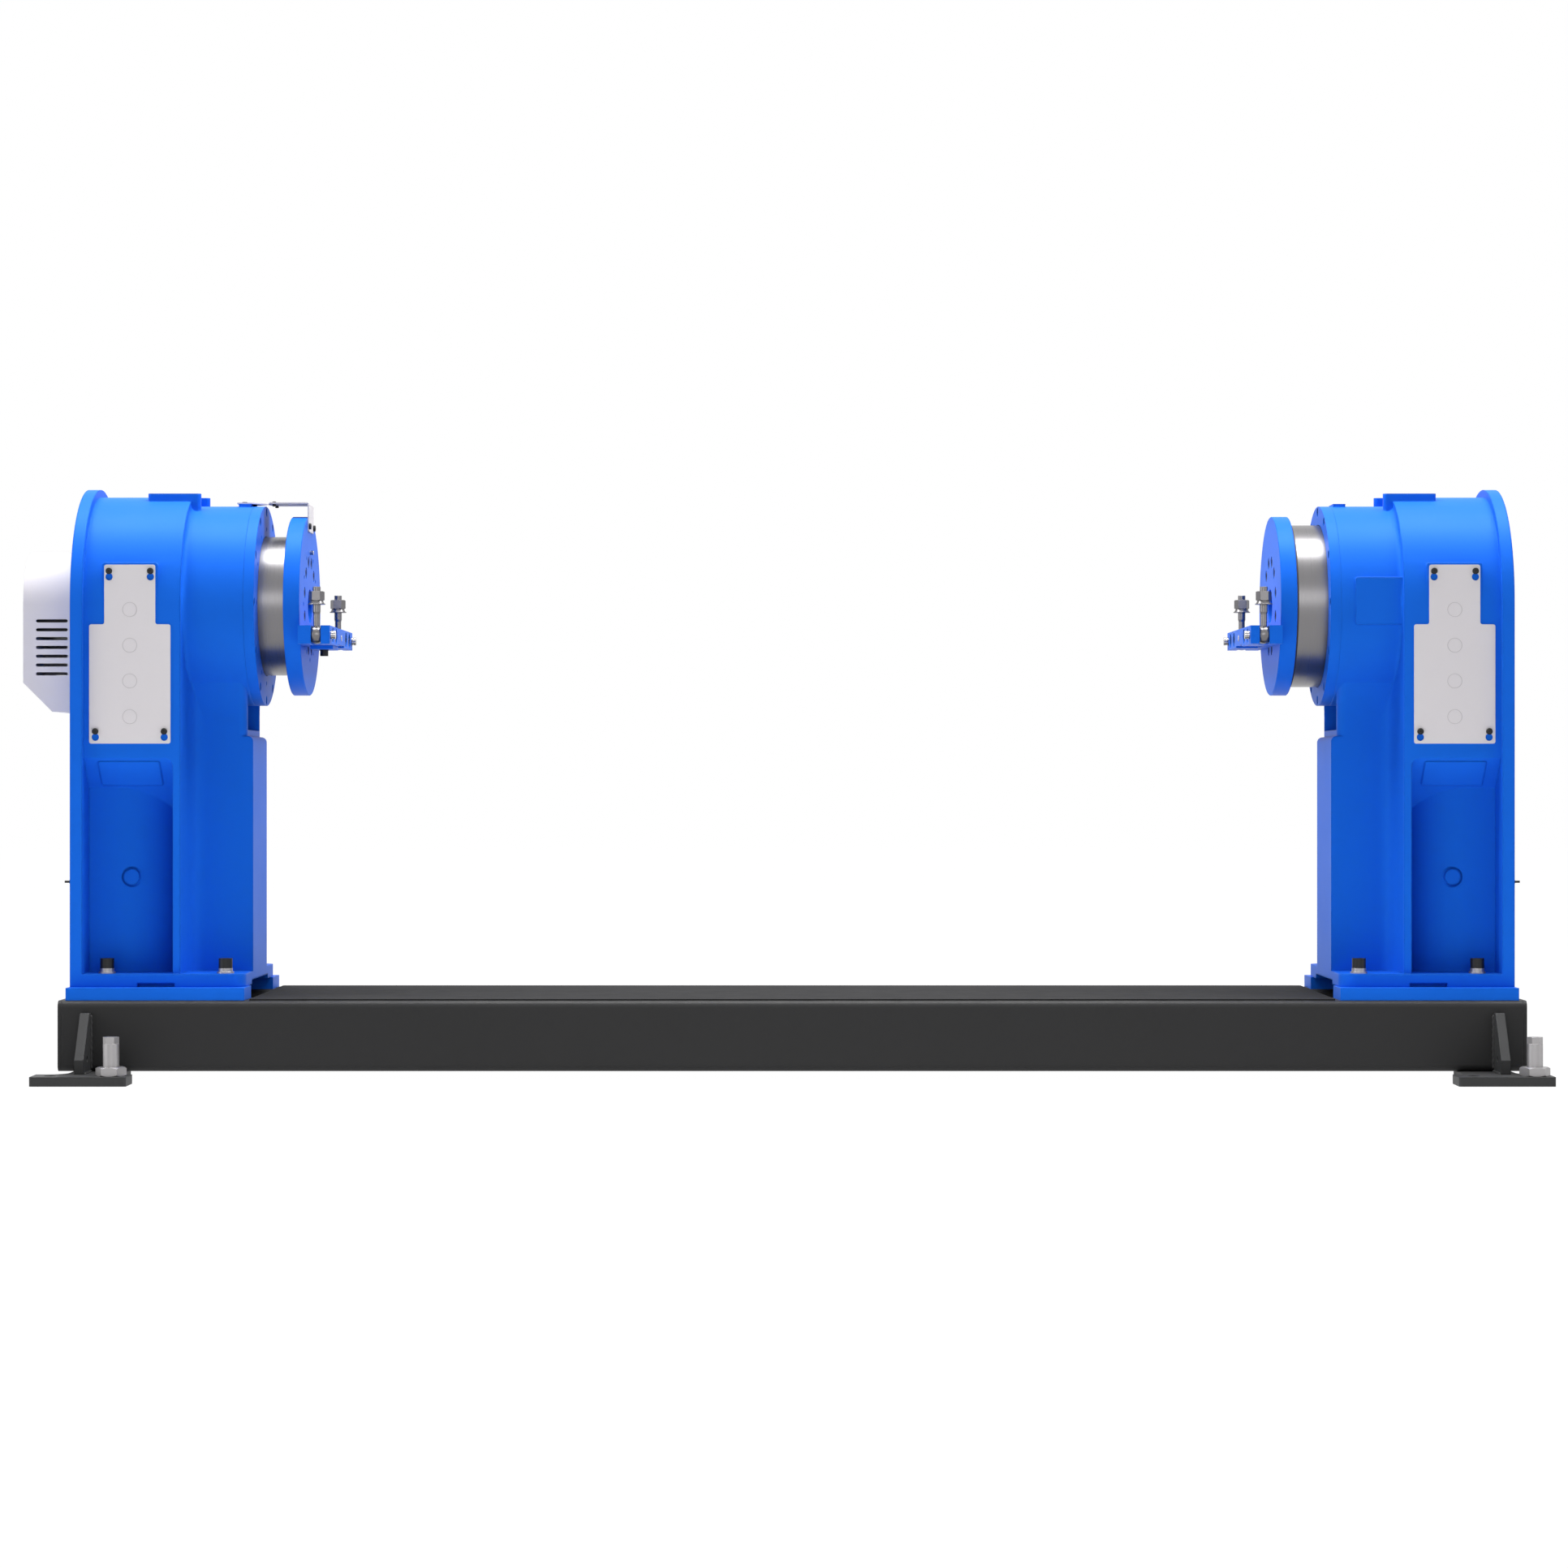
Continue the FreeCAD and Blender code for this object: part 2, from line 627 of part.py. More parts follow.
def hold_down_screw(x):
    """Return one socket head screw with its head above the washers."""
    head_z = FLANGE_TOP + FLAT_WASHER_THICK + SPRING_WASHER_THICK
    shank = bar_z(head_z - HOLD_DOWN_LENGTH, head_z, HOLD_DOWN_R, x, -HOLD_DOWN_Y)
    head = bar_z(head_z, head_z + HOLD_DOWN_HEAD_HEIGHT, HOLD_DOWN_HEAD_R, x, -HOLD_DOWN_Y)
    top = head_z + HOLD_DOWN_HEAD_HEIGHT
    socket = hexagon_z(top - HOLD_DOWN_SOCKET_DEPTH, top + 1, HOLD_DOWN_SOCKET_FLATS, x, -HOLD_DOWN_Y)
    return fuse([shank, head]).cut(socket)


def hold_down_washers(x):
    """Return the flat washer and the spring washer under one screw head."""
    flat_top = FLANGE_TOP + FLAT_WASHER_THICK
    flat = bar_z(FLANGE_TOP, flat_top, FLAT_WASHER_R, x, -HOLD_DOWN_Y)
    spring = bar_z(flat_top, flat_top + SPRING_WASHER_THICK, SPRING_WASHER_R, x, -HOLD_DOWN_Y)
    bore = bar_z(FLANGE_TOP - 1, flat_top + SPRING_WASHER_THICK + 1, HOLD_DOWN_HOLE_R, x, -HOLD_DOWN_Y)
    return [flat.cut(bore), spring.cut(bore)]


# Column casting


def lobe(inset, start, end, z0, z1):
    """Return the core between rim and rib, flat at first and then falling in an arc.

    inset moves its whole outline inwards, for the hollow.
    """
    radius = LOBE_RADIUS - inset
    centre_y = LOBE_HALF_WIDTH - LOBE_RADIUS
    flat_y = centre_y + radius
    end_y = centre_y + math.sqrt(radius ** 2 - (end - LOBE_FLAT_END) ** 2)
    turn = math.asin((end - LOBE_FLAT_END) / radius) / 2
    middle = Vector(LOBE_FLAT_END + radius * math.sin(turn), centre_y + radius * math.cos(turn), z0)
    upper = [
        Part.makeLine(Vector(start, flat_y, z0), Vector(LOBE_FLAT_END, flat_y, z0)),
        Part.Arc(Vector(LOBE_FLAT_END, flat_y, z0), middle, Vector(end, end_y, z0)).toShape(),
    ]
    lower = [edge.mirror(Vector(0, 0, 0), Vector(0, 1, 0)) for edge in upper]
    near = Part.makeLine(Vector(start, -flat_y, z0), Vector(start, flat_y, z0))
    far = Part.makeLine(Vector(end, end_y, z0), Vector(end, -end_y, z0))
    wire = Part.Wire(Part.__sortEdges__(upper + [far] + lower + [near]))
    return Part.Face(wire).extrude(Vector(0, 0, z1 - z0))


def flared_end():
    """Return the core beyond the rib, flat-sided below and flared into the casing above."""
    start = BODY_END - RIB_THICK / 2
    low = AXIS_HEIGHT - CASING_RADIUS - FLARE_DROP
    high = AXIS_HEIGHT - CASING_RADIUS / 2
    wide = math.sqrt(CASING_RADIUS ** 2 - (AXIS_HEIGHT - high) ** 2) - FLARE_LAND
    foot = Vector(start, COLUMN_HALF_WIDTH, FLANGE_TOP - 1)
    neck = Vector(start, COLUMN_HALF_WIDTH, low)
    shoulder = Vector(start, wide, high)
    curve = Part.BezierCurve()
    curve.setPoles([
        neck, neck + Vector(0, 0, FLARE_FOOT_LEAD),
        neck + Vector(0, FLARE_HEAD_LEAN, FLARE_HEAD_LEAD), shoulder,
    ])
    side = [Part.makeLine(foot, neck), curve.toShape()]
    other = [edge.mirror(Vector(0, 0, 0), Vector(0, 1, 0)) for edge in side]
    top = Part.makeLine(shoulder, Vector(start, -wide, high))
    bottom = Part.makeLine(Vector(start, -COLUMN_HALF_WIDTH, foot.z), foot)
    face = Part.Face(Part.Wire(Part.__sortEdges__(side + [top] + other + [bottom])))
    solid = face.extrude(Vector(COLUMN_END - start, 0, 0))
    edges = [
        edge for edge in solid.Edges
        if edge.CenterOfMass.x > COLUMN_END - 1 and abs(edge.CenterOfMass.y) > COLUMN_HALF_WIDTH / 2
    ]
    return solid.makeFillet(COLUMN_EDGE_R, edges)


def rib_fillet():
    """Return the hollow-faced corner between the rib's inner side and the core."""
    corner = Vector(BODY_END - 1, COLUMN_HALF_WIDTH - 1, FLANGE_TOP - 1)
    toe = Vector(BODY_END + RIB_FILLET_X, COLUMN_HALF_WIDTH, FLANGE_TOP - 1)
    tip = Vector(BODY_END, COLUMN_HALF_WIDTH + RIB_FILLET_Y, FLANGE_TOP - 1)
    curve = Part.BezierCurve()
    curve.setPoles([
        toe, toe - Vector(RIB_FILLET_TOE_LEAD, 0, 0),
        tip + Vector(RIB_FILLET_TIP_LEAN, -RIB_FILLET_TIP_LEAD, 0), tip,
    ])
    edges = [
        curve.toShape(),
        Part.makeLine(tip, tip - Vector(1, 0, 0)),
        Part.makeLine(tip - Vector(1, 0, 0), corner),
        Part.makeLine(corner, toe - Vector(0, 1, 0)),
        Part.makeLine(toe - Vector(0, 1, 0), toe),
    ]
    return Part.Face(Part.Wire(edges)).extrude(Vector(0, 0, AXIS_HEIGHT - FLANGE_TOP))


def shoulder_fillet_ring():
    """Return the concave ring between the body's end face and the casing."""
    corner = Vector(BODY_END, 0, AXIS_HEIGHT + CASING_RADIUS - 1)
    foot = Vector(BODY_END + SHOULDER_FILLET, 0, AXIS_HEIGHT + CASING_RADIUS)
    inner = Vector(BODY_END + SHOULDER_FILLET, 0, AXIS_HEIGHT + CASING_RADIUS - 1)
    tip = Vector(BODY_END, 0, AXIS_HEIGHT + CASING_RADIUS + SHOULDER_FILLET)
    bulge = SHOULDER_FILLET * (1 - math.sqrt(0.5))
    middle = Vector(BODY_END + bulge, 0, AXIS_HEIGHT + CASING_RADIUS + bulge)
    edges = [
        Part.makeLine(corner, inner),
        Part.makeLine(inner, foot),
        Part.Arc(foot, middle, tip).toShape(),
        Part.makeLine(tip, corner),
    ]
    return Part.Face(Part.Wire(edges)).revolve(Vector(0, 0, AXIS_HEIGHT), X_AXIS, 360)


def pocket_ceiling():
    """Return the wedge under the body whose two slopes roof the front and rear pockets."""
    drop = BODY_RADIUS * math.tan(math.radians(CEILING_SLOPE))
    profile = [
        (RIM_THICK - 1, -BODY_RADIUS, POCKET_TOP),
        (RIM_THICK - 1, 0, POCKET_TOP - drop),
        (RIM_THICK - 1, BODY_RADIUS, POCKET_TOP),
    ]
    return prism(profile, (BODY_END - RIM_THICK + 1, 0, 0))


def ceiling_corner():
    """Return the round corner between the pocket's ceiling and the rib."""
    rib = BODY_END - RIB_THICK
    round_from = Vector(rib - CEILING_CORNER_R, -BODY_RADIUS, POCKET_TOP)
    round_to = Vector(rib, -BODY_RADIUS, POCKET_TOP - CEILING_CORNER_R)
    bulge = CEILING_CORNER_R * math.sqrt(0.5)
    middle = Vector(round_from.x + bulge, -BODY_RADIUS, round_to.z + bulge)
    edges = [
        Part.Arc(round_from, middle, round_to).toShape(),
        Part.makeLine(round_to, round_to + Vector(1, 0, 0)),
        Part.makeLine(round_to + Vector(1, 0, 0), Vector(rib + 1, -BODY_RADIUS, POCKET_TOP + 1)),
        Part.makeLine(Vector(rib + 1, -BODY_RADIUS, POCKET_TOP + 1), round_from + Vector(0, 0, 1)),
        Part.makeLine(round_from + Vector(0, 0, 1), round_from),
    ]
    run = BODY_RADIUS - LOBE_HALF_WIDTH / 2
    fall = run * math.tan(math.radians(CEILING_SLOPE))
    return Part.Face(Part.Wire(edges)).extrude(Vector(0, run, -fall))


def ceiling_pad():
    """Return the raised rectangle on the front pocket's ceiling."""
    x0 = (RIM_THICK + BODY_END - RIB_THICK - CEILING_PAD_LENGTH) / 2
    pad = block(
        x0, x0 + CEILING_PAD_LENGTH, CEILING_PAD_START, CEILING_PAD_START + CEILING_PAD_DEPTH,
        -CEILING_PAD_PROUD, CEILING_PAD_PROUD,
    )
    pad = round_edges(pad, COVER_CORNER, (0, 0, 1))
    pad.rotate(Vector(0, 0, 0), X_AXIS, -CEILING_SLOPE)
    return pad.translated(Vector(0, -BODY_RADIUS, POCKET_TOP))


def cover_outline(grow, y0, y1):
    """Return the stepped outline of a side cover, grown all round, between two Y planes."""
    lower = block(
        COVER_LOWER_START - grow, COVER_LOWER_START + COVER_LOWER_WIDTH + grow, y0, y1,
        COVER_BOTTOM - grow, COVER_STEP + grow,
    )
    upper = block(
        COVER_UPPER_START - grow, COVER_UPPER_START + COVER_UPPER_WIDTH + grow, y0, y1,
        COVER_BOTTOM, COVER_TOP + grow,
    )
    return round_edges(fuse([lower, upper]), COVER_CORNER, (0, 1, 0))


def base_flange():
    """Return the cast foot of the column with its lifting slots and relieved underside."""
    flange = block(0, END_PAD_FACE, -RIM_RADIUS, RIM_RADIUS, FLANGE_BOTTOM, FLANGE_TOP)
    flange = round_edges(flange, FLANGE_CORNER, (0, 0, 1), lambda centre: centre.x > BODY_END)
    flange = flange.cut(block(
        -1, END_PAD_FACE + 1, -UNDERSIDE_HALF_WIDTH, UNDERSIDE_HALF_WIDTH,
        FLANGE_BOTTOM - 1, FLANGE_BOTTOM + UNDERSIDE_HEIGHT,
    ))
    slot = block(
        LIFT_SLOT_START, LIFT_SLOT_START + LIFT_SLOT_LENGTH, -RIM_RADIUS - 1, -RIM_RADIUS + CAST_WALL,
        FLANGE_BOTTOM - 1, FLANGE_BOTTOM + LIFT_SLOT_HEIGHT,
    )
    for side in both_sides(slot):
        flange = flange.cut(side)
    return flange


def top_lugs():
    """Return the two narrow lugs across the body's top."""
    lug = block(
        TOP_LUG_START, TOP_LUG_END, -TOP_LUG_HALF_SPAN, -TOP_LUG_HALF_SPAN + TOP_LUG_THICK,
        AXIS_HEIGHT, AXIS_HEIGHT + TOP_LUG_RISE,
    )
    return both_sides(round_edges(lug, TOP_LUG_CORNER, (0, 0, 1)))


def pointer_pad():
    """Return the flat on the casing that carries the fixed pointer."""
    return block(
        POINTER_PAD_START, POINTER_PAD_START + POINTER_PAD_LENGTH,
        -POINTER_PAD_WIDTH / 2, POINTER_PAD_WIDTH / 2,
        AXIS_HEIGHT, AXIS_HEIGHT + POINTER_PAD_RISE,
    )


def plug(radius, proud):
    """Return a disc on the core's flat side, as deep as the plug's recess."""
    face = -LOBE_HALF_WIDTH - proud
    return bar_y(face, -LOBE_HALF_WIDTH + PLUG_RECESS_DEPTH, radius, PLUG_X, PLUG_Z)


def end_pad():
    """Return the machined pad on the column's inner end, round at its top."""
    pad = block(
        COLUMN_END - CAST_WALL, END_PAD_FACE, -COLUMN_HALF_WIDTH, COLUMN_HALF_WIDTH,
        FLANGE_BOTTOM + UNDERSIDE_HEIGHT, END_PAD_TOP,
    )
    return round_edges(
        pad, END_PAD_TOP_R, (0, 1, 0), lambda centre: centre.x > COLUMN_END and centre.z > END_PAD_TOP - 1
    )


def column_outside():
    """Return the outer form of the column, without its hollows."""
    parts = [
        arch(0, RIM_THICK, RIM_RADIUS, FLANGE_BOTTOM),
        arch(RIM_THICK - 1, BODY_END, BODY_RADIUS, POCKET_TOP),
        bar_x(BODY_END - 1, CASING_END, CASING_RADIUS),
        shoulder_fillet_ring(),
        pocket_ceiling(),
        lobe(0, RIM_THICK - 1, BODY_END - RIB_THICK / 2, FLANGE_TOP - 1, POCKET_TOP),
        flared_end(),
        block(BODY_END - RIB_THICK, BODY_END, -BODY_RADIUS, BODY_RADIUS, FLANGE_TOP - 1, POCKET_TOP + 1),
        base_flange(),
        end_pad(),
        cover_outline(COVER_PAD_LIP, -BODY_RADIUS, BODY_RADIUS),
    ]
    for piece in (rib_fillet(), ceiling_corner(), ceiling_pad(), plug(PLUG_R, PLUG_PROUD)):
        parts += both_sides(piece)
    return fuse(parts + top_lugs() + [pointer_pad()])


def column_hollows():
    """Return the solids to cut from the column's outer form."""
    bore_r = CASING_RADIUS - CAST_WALL - HOLLOW_LAND
    body_r = BODY_RADIUS - CAST_WALL
    floor = POCKET_TOP + CAST_WALL
    lobe_end = BODY_END - RIB_THICK - CAST_WALL
    casing = bar_x(BODY_END - 1, CASING_END + 1, CASING_RADIUS)
    inner_lobe = block(
        BODY_END, COLUMN_END - CAST_WALL,
        -COLUMN_HALF_WIDTH + CAST_WALL, COLUMN_HALF_WIDTH - CAST_WALL,
        FLANGE_TOP, AXIS_HEIGHT,
    )
    window = block(
        COLUMN_END - CAST_WALL - 1, COLUMN_END + 1, -WINDOW_HALF_WIDTH, WINDOW_HALF_WIDTH,
        WINDOW_BOTTOM, AXIS_HEIGHT,
    )
    return [
        arch(CAST_WALL, BODY_END - CAST_WALL, body_r, floor),
        bar_x(CAST_WALL, CASING_END + 1, bore_r),
        lobe(CAST_WALL, RIM_THICK + CAST_WALL, lobe_end, FLANGE_TOP, floor - 2 * CAST_WALL),
        block(lobe_end - 1, BODY_END + 1, -CAST_WALL, CAST_WALL, FLANGE_TOP, floor - 2 * CAST_WALL),
        inner_lobe.cut(casing),
        window.cut(casing),
    ]


def column():
    """Return the casting that both ends share, still closed at its rear face."""
    body = column_outside()
    for hollow in column_hollows():
        body = body.cut(hollow)
    body = body.cut(bar_z(FLANGE_TOP, POCKET_TOP + 2 * CAST_WALL, CABLE_HOLE_R, CABLE_HOLE_X, 0))
    for side in both_sides(plug(PLUG_RECESS_R, PLUG_PROUD).cut(plug(PLUG_R, PLUG_PROUD))):
        body = body.cut(side)
    for x in (HOLD_DOWN_OUTER_X, HOLD_DOWN_INNER_X):
        for side in both_sides(bar_z(FLANGE_BOTTOM - 1, FLANGE_TOP + 1, HOLD_DOWN_HOLE_R, x, -HOLD_DOWN_Y)):
            body = body.cut(side)
    depth = END_SCREW_LENGTH - END_RING_THICK + END_SCREW_RECESS + 4
    screw_z = AXIS_HEIGHT + END_SCREW_PCD / 2
    tapped = bar_x(CASING_END - depth, CASING_END + 1, END_SCREW_R + SEAT_GAP, 0, screw_z)
    for hole in around_axis(tapped, END_SCREW_COUNT):
        body = body.cut(hole)
    opening = rear_opening(REAR_OPENING_R, -1, CAST_WALL + 1)
    return body.cut(opening)


def rear_opening(radius, x0, x1):
    """Return the plug of the opening that the drive passes through in the rim's wall."""
    return arch(x0, x1, radius, AXIS_HEIGHT - REAR_OPENING_DROP)


def head_column():
    """Return the headstock's casting."""
    return [at_head(column())]


def tail_column():
    """Return the tailstock's casting with its side pad, bearing hub and cover recess."""
    body = column()
    pad_top = AXIS_HEIGHT + TAIL_SIDE_PAD_RISE
    pad_y = -CASING_RADIUS - TAIL_SIDE_PAD_PROUD
    pad = block(
        BODY_END - 1, BODY_END + TAIL_SIDE_PAD_SIZE, pad_y, -CASING_RADIUS + CAST_WALL,
        pad_top - TAIL_SIDE_PAD_SIZE, pad_top,
    )
    pad = round_edges(pad, COVER_CORNER, (0, 1, 0), lambda centre: centre.x > BODY_END)
    pad = pad.cut(bar_x(BODY_END - 2, CASING_END, CASING_RADIUS - CAST_WALL))
    hub = bar_x(HUB_BACK, HUB_FRONT, HUB_R)
    web = bar_x(HUB_FRONT - CAST_WALL, HUB_FRONT, CASING_RADIUS - CAST_WALL)
    body = fuse([body, pad, hub, web])
    body = body.cut(bar_x(HUB_BACK - 1, HUB_FRONT + 1, OUTER_RACE_R - RACE_LIP))
    for start in race_starts():
        body = body.cut(bar_x(start - SEAT_GAP, start + RACE_WIDTH + SEAT_GAP, OUTER_RACE_R + SEAT_GAP))
    body = body.cut(bar_x(HUB_BACK - 1, race_starts()[0] + 1, OUTER_RACE_R + SEAT_GAP))
    body = body.cut(bar_x(race_starts()[1] + 1, HUB_FRONT + 1, OUTER_RACE_R + SEAT_GAP))
    recess = rear_opening(REAR_OPENING_R + TAIL_COVER_LIP, -1, TAIL_COVER_THICK)
    return [at_tail(body.cut(recess))]


def race_starts():
    """Return where the rear and the front bearing begin, inwards from the rim."""
    return (HUB_BACK + RACE_LIP, HUB_FRONT - RACE_LIP - RACE_WIDTH)


# Covers of the stands


def cover_screw_places():
    """Return the X and Z of a side cover's four screws."""
    upper_z = COVER_TOP - COVER_SCREW_TOP_DROP
    lower_z = COVER_BOTTOM + COVER_SCREW_BOTTOM_RISE
    upper_left = COVER_UPPER_START + COVER_SCREW_INSET_UPPER
    upper_right = COVER_UPPER_START + COVER_UPPER_WIDTH - COVER_SCREW_INSET_UPPER
    lower_left = COVER_LOWER_START + COVER_SCREW_INSET_LOWER
    lower_right = COVER_LOWER_START + COVER_LOWER_WIDTH - COVER_SCREW_INSET_LOWER
    return [(upper_left, upper_z), (upper_right, upper_z), (lower_left, lower_z), (lower_right, lower_z)]


def side_cover():
    """Return the front side cover, hung on its screws by keyholes."""
    y0 = -BODY_RADIUS - COVER_THICK
    sheet = cover_outline(0, y0, -BODY_RADIUS)
    for x, z in cover_screw_places():
        sheet = sheet.cut(bar_y(y0 - 1, -BODY_RADIUS + 1, KEYHOLE_R, x, z - KEYHOLE_DROP))
        sheet = sheet.cut(bar_y(y0 - 1, -BODY_RADIUS + 1, COVER_SCREW_R + SEAT_GAP, x, z))
    return sheet


def motor_cover():
    """Return the sheet hood over the motor, open towards the rim, with its vent slots."""
    bottom = AXIS_HEIGHT - MOTOR_COVER_DROP
    wall = MOTOR_COVER_WALL
    outer = arch(-MOTOR_COVER_DEPTH, 0, MOTOR_COVER_R, bottom)
    inner = arch(-MOTOR_COVER_DEPTH + wall, 1, MOTOR_COVER_R - wall, bottom + wall)
    outer = outer.cut(chamfer_wedge(MOTOR_COVER_CHAMFER, bottom, -MOTOR_COVER_DEPTH))
    inner = inner.cut(chamfer_wedge(MOTOR_COVER_CHAMFER, bottom + wall, -MOTOR_COVER_DEPTH + wall))
    hood = outer.cut(inner)
    for step in range(VENT_COUNT):
        z = AXIS_HEIGHT - VENT_TOP_DROP - step * VENT_PITCH
        x0 = -MOTOR_COVER_DEPTH + VENT_END_INSET
        slot = block(
            x0, x0 + VENT_LENGTH, -MOTOR_COVER_R - 1, MOTOR_COVER_R + 1,
            z - VENT_HEIGHT / 2, z + VENT_HEIGHT / 2,
        )
        hood = hood.cut(round_edges(slot, VENT_HEIGHT / 2 - 0.1, (0, 1, 0)))
    return [at_head(hood)]


def chamfer_wedge(size, bottom, end):
    """Return the wedge that slopes the hood's lower outer edge."""
    profile = [
        (end - 1, -RIM_RADIUS, bottom - 1),
        (end - 1, -RIM_RADIUS, bottom + size + 1),
        (end + size + 1, -RIM_RADIUS, bottom - 1),
    ]
    return prism(profile, (0, 2 * RIM_RADIUS, 0))


def tail_end_cover():
    """Return the flush sheet in the tailstock's outer face."""
    cover = rear_opening(REAR_OPENING_R + TAIL_COVER_LIP - FACE_GAP, 0, TAIL_COVER_THICK)
    lift = cover.translated(Vector(0, 0, FACE_GAP))
    return [at_tail(cover.common(lift))]


# Headstock drive


def servo_motor():
    """Return the motor with its square flange and the adapter that joins it to the reducer."""
    half = MOTOR_HALF
    body = block(MOTOR_BACK, MOTOR_FRONT, -half, half, AXIS_HEIGHT - half, AXIS_HEIGHT + half)
    body = round_edges(body, MOTOR_CORNER, (1, 0, 0))
    half = MOTOR_FLANGE_HALF
    flange = block(
        MOTOR_FRONT - MOTOR_FLANGE_THICK, MOTOR_FRONT, -half, half, AXIS_HEIGHT - half, AXIS_HEIGHT + half
    )
    flange = round_edges(flange, MOTOR_CORNER, (1, 0, 0))
    return [at_head(fuse([body, flange]))]


def drive_adapter():
    """Return the tube between the motor flange and the reducer."""
    plate = bar_x(MOTOR_FRONT, MOTOR_FRONT + MOTOR_FLANGE_THICK, ADAPTER_R)
    neck = ring_x(MOTOR_FRONT, REDUCER_BACK, ADAPTER_R - CAST_WALL / 2, ADAPTER_R - CAST_WALL)
    rim = ring_x(REDUCER_BACK - MOTOR_FLANGE_THICK, REDUCER_BACK, REDUCER_R, ADAPTER_R - CAST_WALL)
    return [at_head(fuse([plate, neck, rim]))]


def reducer_case():
    """Return the reducer's fixed case, bolted to the back of the end ring by its flange."""
    case = bar_x(REDUCER_BACK, CASING_END, REDUCER_R)
    flange = bar_x(CASING_END - REDUCER_FLANGE_THICK, CASING_END, REDUCER_FLANGE_R)
    hollow = bar_x(CASING_END - REDUCER_OUTPUT_DEPTH, CASING_END + 1, REDUCER_OUTPUT_R + RUNNING_FIT)
    return [at_head(fuse([case, flange]).cut(hollow))]


def reducer_output():
    """Return the turning output block that carries the drum."""
    block_x = bar_x(CASING_END - REDUCER_OUTPUT_DEPTH + FACE_GAP, END_FACE - DRUM_TAIL_IN, REDUCER_OUTPUT_R)
    return [at_head(block_x)]


# End rings, drums and faceplates


def end_ring(drum_r):
    """Return the ring that closes a casing round its drum."""
    ring = ring_x(CASING_END, END_FACE, CASING_RADIUS, drum_r + DRUM_CLEARANCE)
    hole_z = AXIS_HEIGHT + END_SCREW_PCD / 2
    through = bar_x(CASING_END - 1, END_FACE + 1, END_SCREW_R + SEAT_GAP, 0, hole_z)
    recess = bar_x(END_FACE - END_SCREW_RECESS, END_FACE + 1, END_SCREW_RECESS_R, 0, hole_z)
    for hole in around_axis(fuse([through, recess]), END_SCREW_COUNT):
        ring = ring.cut(hole)
    if drum_r + DRUM_CLEARANCE < SMALL_HOLE_PCD / 2 - 2 * SMALL_HOLE_R:
        small_z = AXIS_HEIGHT + SMALL_HOLE_PCD / 2
        small = bar_x(END_FACE - SMALL_HOLE_DEPTH, END_FACE + 1, SMALL_HOLE_R, 0, small_z)
        for hole in around_axis(small, END_SCREW_COUNT):
            ring = ring.cut(hole)
    return ring


def end_ring_screws():
    """Return the screws of one end ring, sunk in their recesses."""
    hole_z = AXIS_HEIGHT + END_SCREW_PCD / 2
    seat = END_FACE - END_SCREW_RECESS
    head = bar_x(seat, seat + END_SCREW_HEAD_HEIGHT, END_SCREW_HEAD_R, 0, hole_z)
    shank = bar_x(seat - END_SCREW_LENGTH, seat + 1, END_SCREW_R, 0, hole_z)
    return around_axis(fuse([head, shank]), END_SCREW_COUNT)


def drum(drum_r, reach):
    """Return the bright drum that carries a faceplate out of its casing."""
    front = END_FACE + reach
    body = ring_x(END_FACE - DRUM_TAIL_IN, front, drum_r, DRUM_BORE_R)
    tapped = bar_x(
        front - FACE_SCREW_LENGTH, front + 1, FACE_SCREW_R + SEAT_GAP, 0, AXIS_HEIGHT + FACE_SCREW_PCD / 2
    )
    for hole in around_axis(tapped, FACE_SCREW_COUNT, 180.0 / FACE_SCREW_COUNT):
        body = body.cut(hole)
    return body


def insulating_ring():
    """Return the ring that keeps welding current out of the tail's bearings."""
    start = END_FACE + TAIL_DRUM_REACH
    ring = ring_x(start, TAIL_PLATE_BACK, INSULATING_RING_R, DRUM_BORE_R)
    screw_z = AXIS_HEIGHT + FACE_SCREW_PCD / 2
    through = bar_x(start - 1, TAIL_PLATE_BACK + 1, FACE_SCREW_R + SEAT_GAP, 0, screw_z)
    for hole in around_axis(through, FACE_SCREW_COUNT, 180.0 / FACE_SCREW_COUNT):
        ring = ring.cut(hole)
    return ring


def faceplate(back):
    """Return a faceplate with its centre bore, screw circle and the clamp bar's tapped holes."""
    face = back + FACEPLATE_THICK
    plate = bar_x(back, face, FACEPLATE_R)
    rims = [edge for edge in plate.Edges if isinstance(edge.Curve, Part.Circle)]
    plate = plate.makeChamfer(FACEPLATE_CHAMFER, rims)
    plate = plate.cut(bar_x(back - 1, face + 1, CENTRE_BORE_R))
    screw_z = AXIS_HEIGHT + FACE_SCREW_PCD / 2
    through = bar_x(back - 1, face + 1, FACE_SCREW_R + SEAT_GAP, 0, screw_z)
    recess = bar_x(face - FACE_SCREW_RECESS, face + 1, FACE_SCREW_RECESS_R, 0, screw_z)
    for hole in around_axis(fuse([through, recess]), FACE_SCREW_COUNT, 180.0 / FACE_SCREW_COUNT):
        plate = plate.cut(hole)
    for y in bar_screw_places():
        hole = bar_x(face - bar_screw_depth(), face + 1, BAR_SCREW_R + SEAT_GAP, y, AXIS_HEIGHT - BAR_DROP)
        plate = plate.cut(hole)
    return plate


